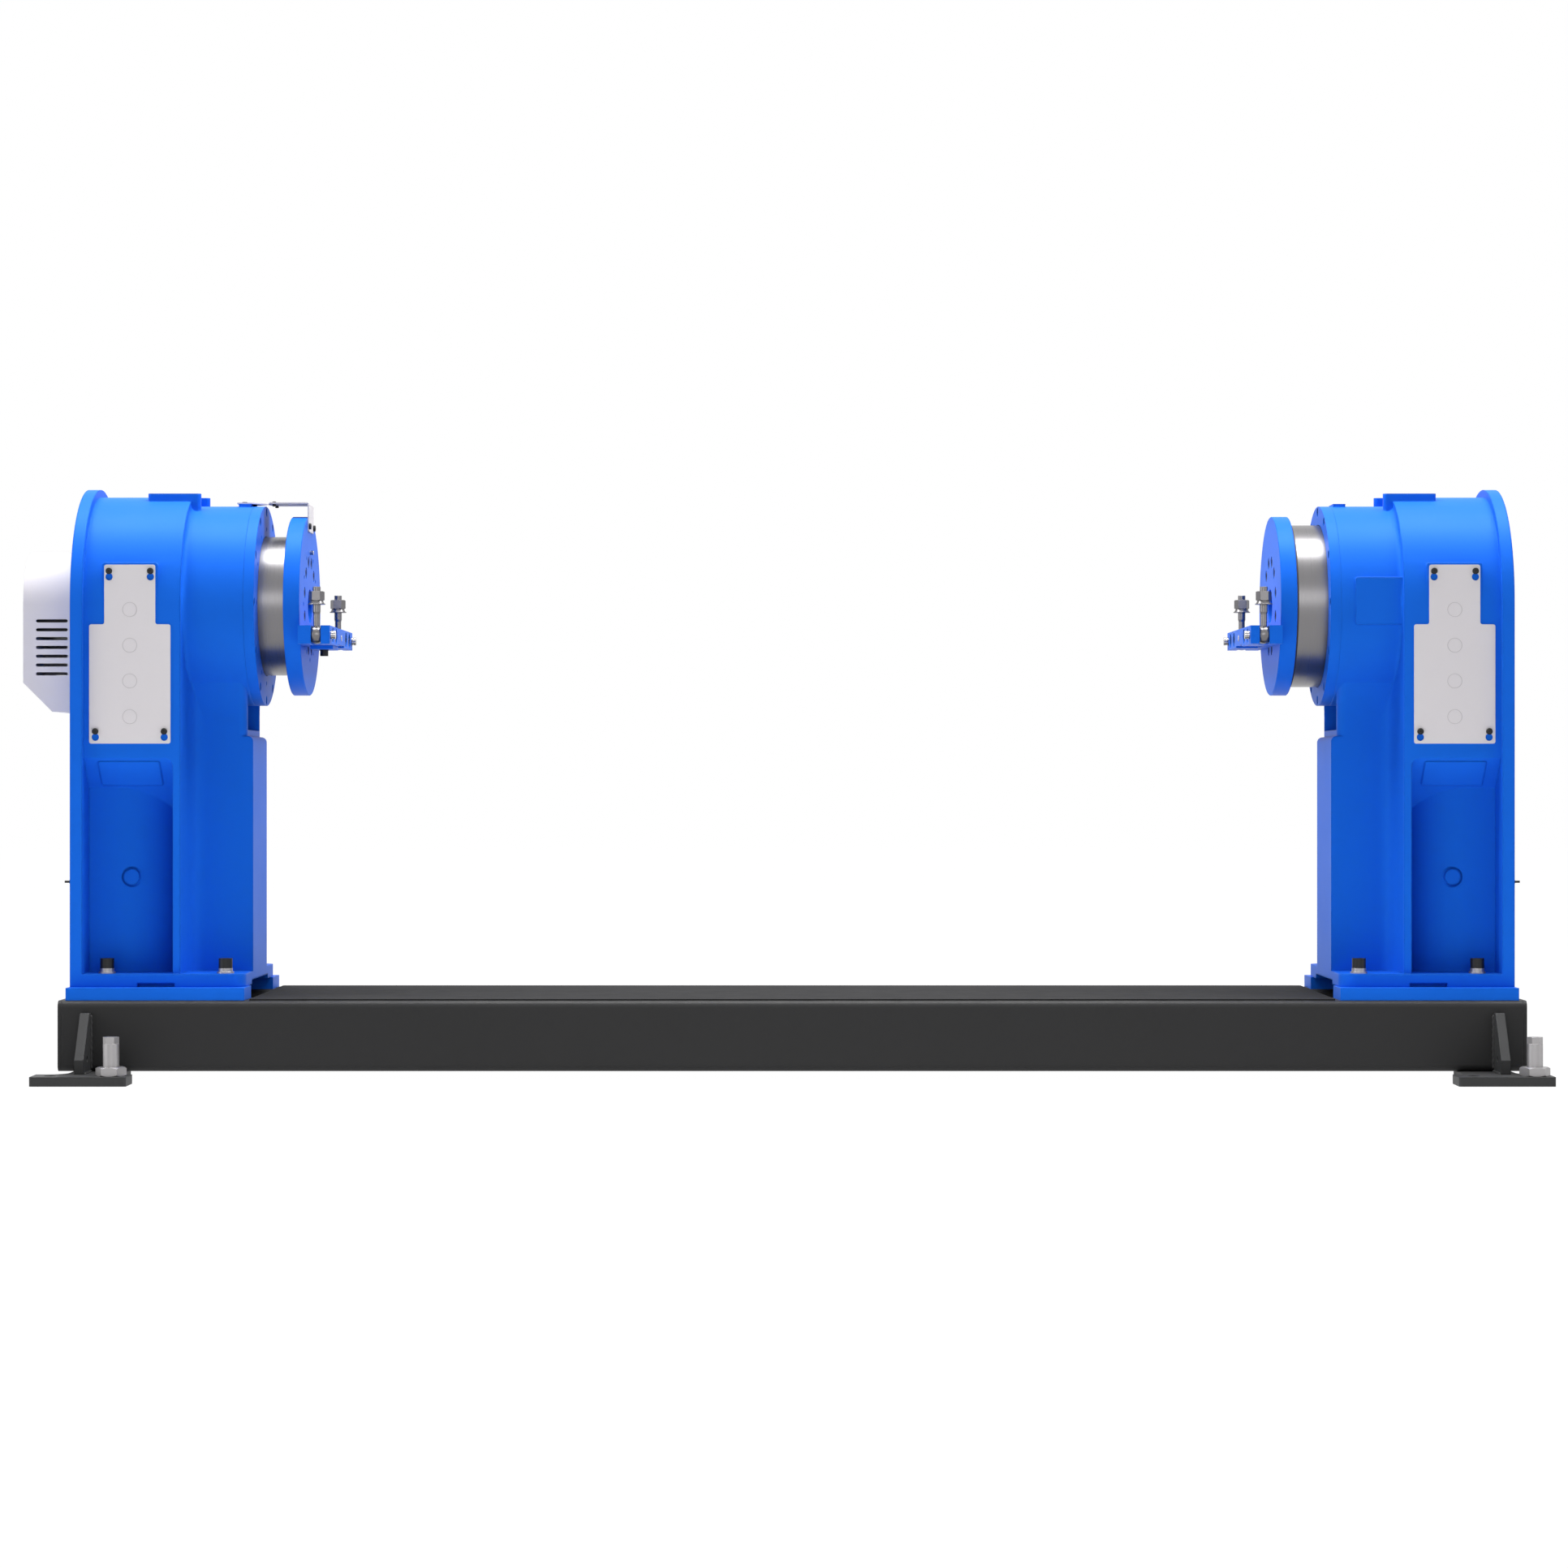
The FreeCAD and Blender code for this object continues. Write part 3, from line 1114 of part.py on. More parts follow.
def index_holes(face):
    """Return the ring of index holes in the head's faceplate, those behind the clamp bar left out."""
    hole_z = AXIS_HEIGHT + INDEX_HOLE_PCD / 2
    hole = bar_x(face - INDEX_HOLE_DEPTH, face + 1, INDEX_HOLE_R + SEAT_GAP, 0, hole_z)
    bar_top = AXIS_HEIGHT - BAR_DROP + BAR_HEIGHT / 2
    holes = around_axis(hole, INDEX_HOLE_COUNT)
    return [
        hole for hole in holes
        if hole.BoundBox.ZMin > bar_top or hole.BoundBox.ZMax < bar_top - BAR_HEIGHT
    ]


def index_dowel(face):
    """Return the dowel in the uppermost index hole."""
    z = AXIS_HEIGHT + INDEX_HOLE_PCD / 2
    return bar_x(face - INDEX_HOLE_DEPTH, face + INDEX_DOWEL_PROUD, INDEX_HOLE_R, 0, z)


def face_screws(back):
    """Return the screws that hold a faceplate on its drum."""
    screw_z = AXIS_HEIGHT + FACE_SCREW_PCD / 2
    seat = back + FACEPLATE_THICK - FACE_SCREW_RECESS
    head = bar_x(seat, seat + FACE_SCREW_HEAD_HEIGHT, FACE_SCREW_HEAD_R, 0, screw_z)
    shank = bar_x(seat - FACE_SCREW_LENGTH, seat + 1, FACE_SCREW_R, 0, screw_z)
    return around_axis(fuse([head, shank]), FACE_SCREW_COUNT, 180.0 / FACE_SCREW_COUNT)


# Tail spindle


def tail_spindle():
    """Return the stepped shaft whose nose carries the tail drum."""
    nose_end = END_FACE - DRUM_TAIL_IN
    shaft = bar_x(SPINDLE_BACK, nose_end - SPINDLE_NOSE_THICK, SPINDLE_R)
    shoulder = bar_x(HUB_FRONT + RACE_LIP, nose_end, SPINDLE_NOSE_R)
    collar = bar_x(race_starts()[1] + RACE_WIDTH, HUB_FRONT + RACE_LIP + 1, INNER_RACE_R)
    spacer = bar_x(race_starts()[0] + RACE_WIDTH, race_starts()[1], INNER_RACE_R - RACE_LIP)
    return [at_tail(fuse([shaft, shoulder, collar, spacer]))]


def inner_races():
    """Return the two inner races on the shaft."""
    return [
        at_tail(ring_x(start, start + RACE_WIDTH, INNER_RACE_R, SPINDLE_R + SEAT_GAP))
        for start in race_starts()
    ]


def outer_races():
    """Return the two outer races in the hub."""
    inner = INNER_RACE_R + 2 * (ROLLER_R + RUNNING_FIT)
    return [
        at_tail(ring_x(start, start + RACE_WIDTH, OUTER_RACE_R, inner))
        for start in race_starts()
    ]


def rollers():
    """Return the rollers of both bearings."""
    centre_z = AXIS_HEIGHT + INNER_RACE_R + RUNNING_FIT + ROLLER_R
    inset = (RACE_WIDTH - ROLLER_LENGTH) / 2
    shapes = []
    for start in race_starts():
        roller = bar_x(start + inset, start + RACE_WIDTH - inset, ROLLER_R, 0, centre_z)
        shapes += [at_tail(copy) for copy in around_axis(roller, ROLLER_COUNT)]
    return shapes


def shaft_nut():
    """Return the nut that clamps the inner races against the collar."""
    start = race_starts()[0] - SHAFT_NUT_THICK
    return [at_tail(ring_x(start, race_starts()[0], SHAFT_NUT_R, SPINDLE_R + SEAT_GAP))]


# Clamp bars, drawn outwards from the face of a faceplate


def bar_screw_places():
    """Return the Y of the screws that hold a clamp bar."""
    outer = PIVOT_SPAN / 2 - BAR_SCREW_FROM_PIVOT
    return [sign * y for y in (BAR_INNER_SCREW_SPAN / 2, outer) for sign in (-1, 1)]


def bar_screw_depth():
    """Return how deep a clamp bar's screw reaches into the faceplate."""
    return BAR_SCREW_LENGTH + 2 - (BAR_DEPTH - BAR_SCREW_RECESS)


def clamp_bar(face):
    """Return a clamp bar with its end slots, screw recesses and pivot bores."""
    z = AXIS_HEIGHT - BAR_DROP
    half = BAR_HEIGHT / 2
    bar = block(face, face + BAR_DEPTH, -BAR_LENGTH / 2, BAR_LENGTH / 2, z - half, z + half)
    notch = block(
        face + BAR_SCREW_RECESS, face + BAR_DEPTH + 1, -BAR_NOTCH_LENGTH / 2, BAR_NOTCH_LENGTH / 2,
        z - half - 1, z - half + BAR_NOTCH_DEPTH,
    )
    bar = bar.cut(notch)
    pivot_y = PIVOT_SPAN / 2
    slot = block(
        face + SLOT_CENTRE - SLOT_WIDTH / 2, face + SLOT_CENTRE + SLOT_WIDTH / 2,
        -BAR_LENGTH / 2 - 1, -pivot_y + SLOT_BEHIND_PIVOT, z - half - 1, z + half + 1,
    )
    for side in both_sides(slot):
        bar = bar.cut(side)
    pin_hole = bar_x(face + PIN_BLIND, face + BAR_DEPTH + 1, PIN_R + SEAT_GAP, -pivot_y, z)
    for side in both_sides(pin_hole):
        bar = bar.cut(side)
    seat = face + BAR_DEPTH - BAR_SCREW_RECESS
    for y in bar_screw_places():
        bar = bar.cut(bar_x(face - 1, face + BAR_DEPTH + 1, BAR_SCREW_R + SEAT_GAP, y, z))
        bar = bar.cut(bar_x(seat, face + BAR_DEPTH + 1, BAR_SCREW_RECESS_R, y, z))
    dowel = bar_x(face + BAR_DEPTH - BAR_DOWEL_LENGTH, face + BAR_DEPTH + 1, BAR_DOWEL_R + SEAT_GAP, 0, z)
    return bar.cut(dowel)


def bar_screws(face):
    """Return the socket head screws of a clamp bar."""
    z = AXIS_HEIGHT - BAR_DROP
    seat = face + BAR_DEPTH - BAR_SCREW_RECESS
    top = seat + BAR_SCREW_HEAD_HEIGHT
    shapes = []
    for y in bar_screw_places():
        head = bar_x(seat, top, BAR_SCREW_HEAD_R, y, z)
        shank = bar_x(seat - BAR_SCREW_LENGTH, seat + 1, BAR_SCREW_R, y, z)
        socket = hexagon_x(top - BAR_SCREW_SOCKET_DEPTH, top + 1, BAR_SCREW_SOCKET_FLATS, y, z)
        shapes.append(fuse([head, shank]).cut(socket))
    return shapes


def bar_dowel(face):
    """Return the locating dowel in the middle of a clamp bar."""
    end = face + BAR_DEPTH
    return bar_x(end - BAR_DOWEL_LENGTH, end + 1, BAR_DOWEL_R, 0, AXIS_HEIGHT - BAR_DROP)


def pivot_pins(face):
    """Return the two pins that the swing bolts turn on, each with a ring groove at its end."""
    end = face + BAR_DEPTH + PIN_PROUD
    z = AXIS_HEIGHT - BAR_DROP
    pin = bar_x(face + PIN_BLIND, end, PIN_R, -PIVOT_SPAN / 2, z)
    tip = Part.makeCone(PIN_R + 1, PIN_R - 1, 2, Vector(end - 1, -PIVOT_SPAN / 2, z), X_AXIS)
    groove_x = end - PIN_GROOVE_AT
    groove = ring_x(
        groove_x - PIN_GROOVE_WIDTH, groove_x, PIN_R + 1, PIN_R - PIN_GROOVE_DEPTH, -PIVOT_SPAN / 2, z
    )
    pin = pin.cut(groove).cut(ring_x(end - 1, end + 1, PIN_R + 3, PIN_R - 1, -PIVOT_SPAN / 2, z).cut(tip))
    return both_sides(pin)


# Swing bolts, drawn for the front pivot


def eye_bolt(face):
    """Return one swing bolt with a ball-shaped eye and a necked shank."""
    x = face + SLOT_CENTRE
    y = -PIVOT_SPAN / 2
    z = AXIS_HEIGHT - BAR_DROP
    eye = Part.makeSphere(EYE_R, Vector(x, y, z))
    eye = eye.common(block(x - EYE_WIDTH / 2, x + EYE_WIDTH / 2, y - EYE_R, y + EYE_R, z - EYE_R, z + EYE_R))
    shank = bar_z(z + EYE_R / 2, z + THREAD_START, SHANK_R, x, y)
    taper = Part.makeCone(
        SHANK_R, THREAD_R, THREAD_TAPER, Vector(x, y, z + THREAD_START - THREAD_TAPER), Z_AXIS
    )
    thread = bar_z(z + THREAD_START, z + BOLT_REACH, THREAD_R, x, y)
    bolt = fuse([eye, shank, taper, thread])
    return bolt.cut(bar_x(x - EYE_WIDTH, x + EYE_WIDTH, PIN_R + RUNNING_FIT, y, z))


def collar_washer(face):
    """Return the captive conical washer under a swing bolt's nut."""
    x = face + SLOT_CENTRE
    y = -PIVOT_SPAN / 2
    z = AXIS_HEIGHT - BAR_DROP + COLLAR_FROM_PIN
    lip = bar_z(z, z + COLLAR_LIP, COLLAR_R, x, y)
    cone = Part.makeCone(
        COLLAR_R - 2, COLLAR_TOP_R, COLLAR_HEIGHT - COLLAR_LIP, Vector(x, y, z + COLLAR_LIP), Z_AXIS
    )
    return fuse([lip, cone]).cut(bar_z(z - 1, z + COLLAR_HEIGHT + 1, THREAD_R + RUNNING_FIT, x, y))


def clamp_nut(face):
    """Return the hexagon nut of a swing bolt."""
    x = face + SLOT_CENTRE
    y = -PIVOT_SPAN / 2
    z0 = AXIS_HEIGHT - BAR_DROP + COLLAR_FROM_PIN + COLLAR_HEIGHT
    z1 = z0 + NUT_HEIGHT
    nut = hexagon_z(z0, z1, NUT_FLATS, x, y)
    nut = chamfer_hexagon(nut, NUT_FLATS, z0, z1, x, y)
    return nut.cut(bar_z(z0 - 1, z1 + 1, THREAD_R + RUNNING_FIT, x, y))


# Zero pointers and small fittings of the headstock


def fixed_pointer():
    """Return the pointed plate on top of the headstock's casing."""
    z = AXIS_HEIGHT + POINTER_PAD_RISE
    half = POINTER_WIDTH / 2
    tip = POINTER_PAD_START - 4 + POINTER_LENGTH
    profile = [
        (tip - POINTER_LENGTH, -half, z),
        (tip - POINTER_POINT, -half, z),
        (tip, 0, z),
        (tip - POINTER_POINT, half, z),
        (tip - POINTER_LENGTH, half, z),
    ]
    return [at_head(prism(profile, (0, 0, POINTER_THICK)))]


def dial_pointer():
    """Return the bent bracket on the faceplate whose point meets the fixed pointer."""
    tip = POINTER_PAD_START - 4 + POINTER_LENGTH + POINTER_TIP_GAP
    top = AXIS_HEIGHT + POINTER_PAD_RISE + POINTER_THICK
    half = BRACKET_WIDTH / 2
    outer_x = HEAD_PLATE_FACE + POINTER_THICK
    arm = prism(
        [
            (tip, 0, top), (tip + BRACKET_POINT, -half, top), (outer_x, -half, top),
            (outer_x, half, top), (tip + BRACKET_POINT, half, top),
        ],
        (0, 0, -POINTER_THICK),
    )
    leg = block(HEAD_PLATE_FACE, outer_x, -half, half, top - BRACKET_DROP, top)
    bracket = fuse([arm, leg])
    return [at_head(round_edges(
        bracket, POINTER_BEND_R, (0, 1, 0), lambda centre: centre.x > outer_x - 1 and centre.z > top - 1
    ))]


def stop_screw_place():
    """Return the X and Y of the stop block's screw."""
    x = HEAD_PLATE_FACE + SLOT_CENTRE
    return x, -STOP_SLAB_Y - STOP_SLAB_LENGTH / 2


def stop_screw_hole():
    """Return the tapped hole in the head's clamp bar for the stop block's screw."""
    x, y = stop_screw_place()
    z = AXIS_HEIGHT - BAR_DROP - BAR_HEIGHT / 2
    return bar_z(z - 1, z + STOP_SCREW_LENGTH, STOP_SCREW_R + SEAT_GAP, x, y)


def stop_block():
    """Return the slab under the head's clamp bar, with its washer and its screw."""
    x, y = stop_screw_place()
    z = AXIS_HEIGHT - BAR_DROP - BAR_HEIGHT / 2
    half_x = STOP_SLAB_WIDTH / 2
    half_y = STOP_SLAB_LENGTH / 2
    slab_z = z - STOP_SLAB_THICK
    washer_z = slab_z - STOP_WASHER_THICK
    slab = block(x - half_x, x + half_x, y - half_y, y + half_y, slab_z, z)
    slab = slab.cut(bar_z(slab_z - 1, z + 1, STOP_SCREW_R + SEAT_GAP, x, y))
    washer = bar_z(washer_z, slab_z, STOP_WASHER_R, x, y)
    washer = washer.cut(bar_z(washer_z - 1, slab_z + 1, STOP_SCREW_R + SEAT_GAP, x, y))
    head = bar_z(washer_z - STOP_SCREW_HEAD_HEIGHT, washer_z, STOP_SCREW_HEAD_R, x, y)
    shank = bar_z(washer_z - 1, washer_z + STOP_SCREW_LENGTH, STOP_SCREW_R, x, y)
    return [at_head(slab)], [at_head(washer), at_head(fuse([head, shank]))]


def main():
    """Build every node and write its file."""
    os.makedirs("parts", exist_ok=True)
    front, rear = beam_tubes()
    export("beam_tube_front", [at_beam(front)])
    export("beam_tube_rear", [at_beam(rear)])
    export("beam_end_caps", [at_beam(cap) for cap in end_caps()])
    export("beam_cross_members", [at_beam(member) for member in cross_members()])
    export("deck_cover", [at_beam(sheet) for sheet in deck_cover()])

    feet = {"foot_plates": [], "foot_gussets": [], "levelling_screws": [], "levelling_lock_nuts": []}
    for tail_end in (False, True):
        for node, shape in zip(feet, foot_corner_shapes(tail_end)):
            feet[node] += [at_beam(side) for side in both_sides(shape)]
    for node, shapes in feet.items():
        export(node, shapes)

    strips = both_sides(sole_strip())
    export("sole_strips", [place for strip in strips for place in both_ends(strip)])
    screws = []
    washers = []
    for x in (HOLD_DOWN_OUTER_X, HOLD_DOWN_INNER_X):
        screws += both_sides(hold_down_screw(x))
        for washer in hold_down_washers(x):
            washers += both_sides(washer)
    export("hold_down_screws", [place for screw in screws for place in both_ends(screw)])
    export("hold_down_washers", [place for washer in washers for place in both_ends(washer)])

    export("head_column", head_column())
    export("tail_column", tail_column())
    covers = both_sides(side_cover())
    export("head_side_covers", [at_head(cover) for cover in covers])
    export("tail_side_covers", [at_tail(cover) for cover in covers])
    export("motor_cover", motor_cover())
    export("tail_end_cover", tail_end_cover())

    export("servo_motor", servo_motor())
    export("drive_adapter", drive_adapter())
    export("reducer_case", reducer_case())
    export("reducer_output", reducer_output())

    export("head_end_ring", [at_head(end_ring(HEAD_DRUM_R))])
    export("tail_end_ring", [at_tail(end_ring(TAIL_DRUM_R))])
    export("end_ring_screws", [place for screw in end_ring_screws() for place in both_ends(screw)])
    export("head_drum", [at_head(drum(HEAD_DRUM_R, HEAD_DRUM_REACH))])
    export("tail_drum", [at_tail(drum(TAIL_DRUM_R, TAIL_DRUM_REACH))])
    export("tail_insulating_ring", [at_tail(insulating_ring())])
    head_plate = faceplate(HEAD_PLATE_BACK)
    for hole in index_holes(HEAD_PLATE_FACE):
        head_plate = head_plate.cut(hole)
    export("head_faceplate", [at_head(head_plate)])
    export("tail_faceplate", [at_tail(faceplate(TAIL_PLATE_BACK))])
    export("head_faceplate_screws", [at_head(screw) for screw in face_screws(HEAD_PLATE_BACK)])
    export("tail_faceplate_screws", [at_tail(screw) for screw in face_screws(TAIL_PLATE_BACK)])

    export("tail_spindle_shaft", tail_spindle())
    export("tail_inner_races", inner_races())
    export("tail_outer_races", outer_races())
    export("tail_bearing_rollers", rollers())
    export("tail_shaft_nut", shaft_nut())

    for end, place, face in (("head", at_head, HEAD_PLATE_FACE), ("tail", at_tail, TAIL_PLATE_FACE)):
        bar = clamp_bar(face)
        if end == "head":
            bar = bar.cut(stop_screw_hole())
        export(end + "_clamp_bar", [place(bar)])
        export(end + "_bar_screws", [place(screw) for screw in bar_screws(face)])
        export(end + "_pivot_pins", [place(pin) for pin in pivot_pins(face) + [bar_dowel(face)]])
        pieces = {"eye_bolt": eye_bolt, "collar_washer": collar_washer, "clamp_nut": clamp_nut}
        for name, draw in pieces.items():
            for side, copy in zip(("front", "rear"), both_sides(draw(face))):
                export("_".join((end, side, name)), [place(copy)])

    export("head_index_dowel", [at_head(index_dowel(HEAD_PLATE_FACE))])
    export("fixed_pointer", fixed_pointer())
    export("dial_pointer", dial_pointer())
    slab, fasteners = stop_block()
    export("stop_block", slab)
    export("stop_block_fasteners", fasteners)


main()
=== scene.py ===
"""Looks of a head and tail welding positioner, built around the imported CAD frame.

The castings, beam, faceplates and clamps keep the shapes of the frame. This script gives every one of
them its finish, adds the socket screws, small screws, weld beads and sheet details, and sets up the studio.
"""
import logging
import math
from collections.abc import Callable
from dataclasses import dataclass, field
from enum import Enum

import bmesh
import bpy
from mathutils import Matrix, Vector


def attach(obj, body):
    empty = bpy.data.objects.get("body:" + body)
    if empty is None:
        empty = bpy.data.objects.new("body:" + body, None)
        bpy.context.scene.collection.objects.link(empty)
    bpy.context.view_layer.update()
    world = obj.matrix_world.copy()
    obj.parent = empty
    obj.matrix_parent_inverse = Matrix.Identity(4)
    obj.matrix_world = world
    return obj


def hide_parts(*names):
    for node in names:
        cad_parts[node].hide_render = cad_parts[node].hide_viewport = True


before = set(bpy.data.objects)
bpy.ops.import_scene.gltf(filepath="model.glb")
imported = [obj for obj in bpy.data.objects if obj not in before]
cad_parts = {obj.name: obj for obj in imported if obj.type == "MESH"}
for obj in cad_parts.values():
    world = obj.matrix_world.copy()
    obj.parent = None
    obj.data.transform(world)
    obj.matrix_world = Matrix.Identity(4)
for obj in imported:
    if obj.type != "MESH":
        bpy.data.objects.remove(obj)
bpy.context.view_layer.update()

LOG = logging.getLogger("positioner")
Point = tuple[float, float, float]
Colour = tuple[float, float, float]
Piece = bpy.types.Object
Node = bpy.types.Node
Socket = bpy.types.NodeSocket
Tree = bpy.types.NodeTree
Fill = Callable[[Tree], None]

QUARTER_TURN = math.pi / 2
ORIGIN = (0.0, 0.0, 0.0)

# Places shared by several sub-assemblies, in metres
AXIS_HEIGHT = 1.040
HEAD_FACE_X = -1.040
TAIL_FACE_X = 1.111
HEAD_RIM_X = -1.5315
TAIL_RIM_X = 1.6115


class Facing(Enum):
    """The way that a piece modelled along Z is turned to look: its turns about X and Y."""

    RIGHT = (0.0, QUARTER_TURN)
    LEFT = (0.0, -QUARTER_TURN)
    FRONT = (QUARTER_TURN, 0.0)
    REAR = (-QUARTER_TURN, 0.0)
    UP = (0.0, 0.0)

    @property
    def turn(self) -> Point:
        """The turn as the rotation of an object."""
        return (*self.value, 0.0)

    @property
    def matrix(self) -> Matrix:
        """The turn as a matrix."""
        about_x, about_y = self.value
        return Matrix.Rotation(about_y, 4, "Y") @ Matrix.Rotation(about_x, 4, "X")


class Side(Enum):
    """The side of the machine: the front one faces the camera."""

    FRONT = -1
    REAR = 1

    @property
    def word(self) -> str:
        """The word that this side's pieces have in their names."""
        return self.name.lower()

    @property
    def facing(self) -> Facing:
        """The way that this side looks."""
        return Facing[self.name]


class End(Enum):
    """The end of the beam, by the direction from its stand towards the middle."""

    HEAD = 1
    TAIL = -1

    @property
    def rim_x(self) -> float:
        """X of the outer face of this end's casting."""
        return HEAD_RIM_X if self is End.HEAD else TAIL_RIM_X

    @property
    def face_x(self) -> float:
        """X of the working face of this end's faceplate."""
        return HEAD_FACE_X if self is End.HEAD else TAIL_FACE_X

    @property
    def word(self) -> str:
        """The word that this end's nodes begin with."""
        return self.name.lower()

    @property
    def inwards(self) -> Facing:
        """The way from this end towards the middle."""
        return Facing.RIGHT if self is End.HEAD else Facing.LEFT

    @property
    def outwards(self) -> Facing:
        """The way from the middle past this end."""
        return Facing.LEFT if self is End.HEAD else Facing.RIGHT


# Shader effects that several finishes share


class Nodes:
    """Single nodes that the effects, the finishes and the studio are wired from."""

    @staticmethod
    def calc(
        tree: Tree, operation: str, first: Socket | float, second: Socket | float = 0.0,
        clamp: bool = False,
    ) -> Socket:
        """Add one Math node.

        Args:
            tree: The tree that gets the node.
            operation: The node's operation.
            first: A socket or a number.
            second: A socket or a number.
            clamp: Whether the result is kept between 0 and 1.

        Returns:
            The output socket.
        """
        node = tree.nodes.new("ShaderNodeMath")
        node.operation = operation
        node.use_clamp = clamp
        for index, value in enumerate((first, second)):
            if isinstance(value, (int, float)):
                node.inputs[index].default_value = value
            else:
                tree.links.new(value, node.inputs[index])
        return node.outputs[0]

    @staticmethod
    def noise(
        tree: Tree, vector: Socket, scale: Socket | float, detail: float, rough: float = 0.55
    ) -> Socket:
        """Add one Noise texture.

        Args:
            tree: The tree that gets the node.
            vector: The socket with the place.
            scale: A socket or a number.
            detail: The texture's detail.
            rough: The texture's roughness.

        Returns:
            The Fac output socket.
        """
        node = tree.nodes.new("ShaderNodeTexNoise")
        node.inputs["Detail"].default_value = detail
        node.inputs["Roughness"].default_value = rough
        tree.links.new(vector, node.inputs["Vector"])
        if isinstance(scale, (int, float)):
            node.inputs["Scale"].default_value = scale
        else:
            tree.links.new(scale, node.inputs["Scale"])
        return node.outputs["Fac"]

    @staticmethod
    def ramp(
        tree: Tree, value: Socket, low: float, high: float,
        to_low: float = 0.0, to_high: float = 1.0,
    ) -> Socket:
        """Add one clamped Map Range node.

        Args:
            tree: The tree that gets the node.
            value: The socket to be mapped.
            low: The value that becomes to_low.
            high: The value that becomes to_high.
            to_low: The result at low.
            to_high: The result at high.

        Returns:
            The output socket.
        """
        node = tree.nodes.new("ShaderNodeMapRange")
        for name, number in (("From Min", low), ("From Max", high), ("To Min", to_low), ("To Max", to_high)):
            node.inputs[name].default_value = number
        tree.links.new(value, node.inputs["Value"])
        return node.outputs["Result"]

    @staticmethod
    def mix(tree: Tree, mask: Socket, first: Socket, colour: Colour) -> Socket:
        """Mix a colour over another by a mask.

        Args:
            tree: The material's tree.
            mask: The socket of the mask.
            first: The socket of the colour underneath.
            colour: The colour laid over it.

        Returns:
            The mixed colour's socket.
        """
        node = tree.nodes.new("ShaderNodeMix")
        node.data_type = "RGBA"
        tree.links.new(mask, node.inputs["Factor"])
        tree.links.new(first, node.inputs[6])
        node.inputs[7].default_value = (*colour, 1.0)
        return node.outputs[2]


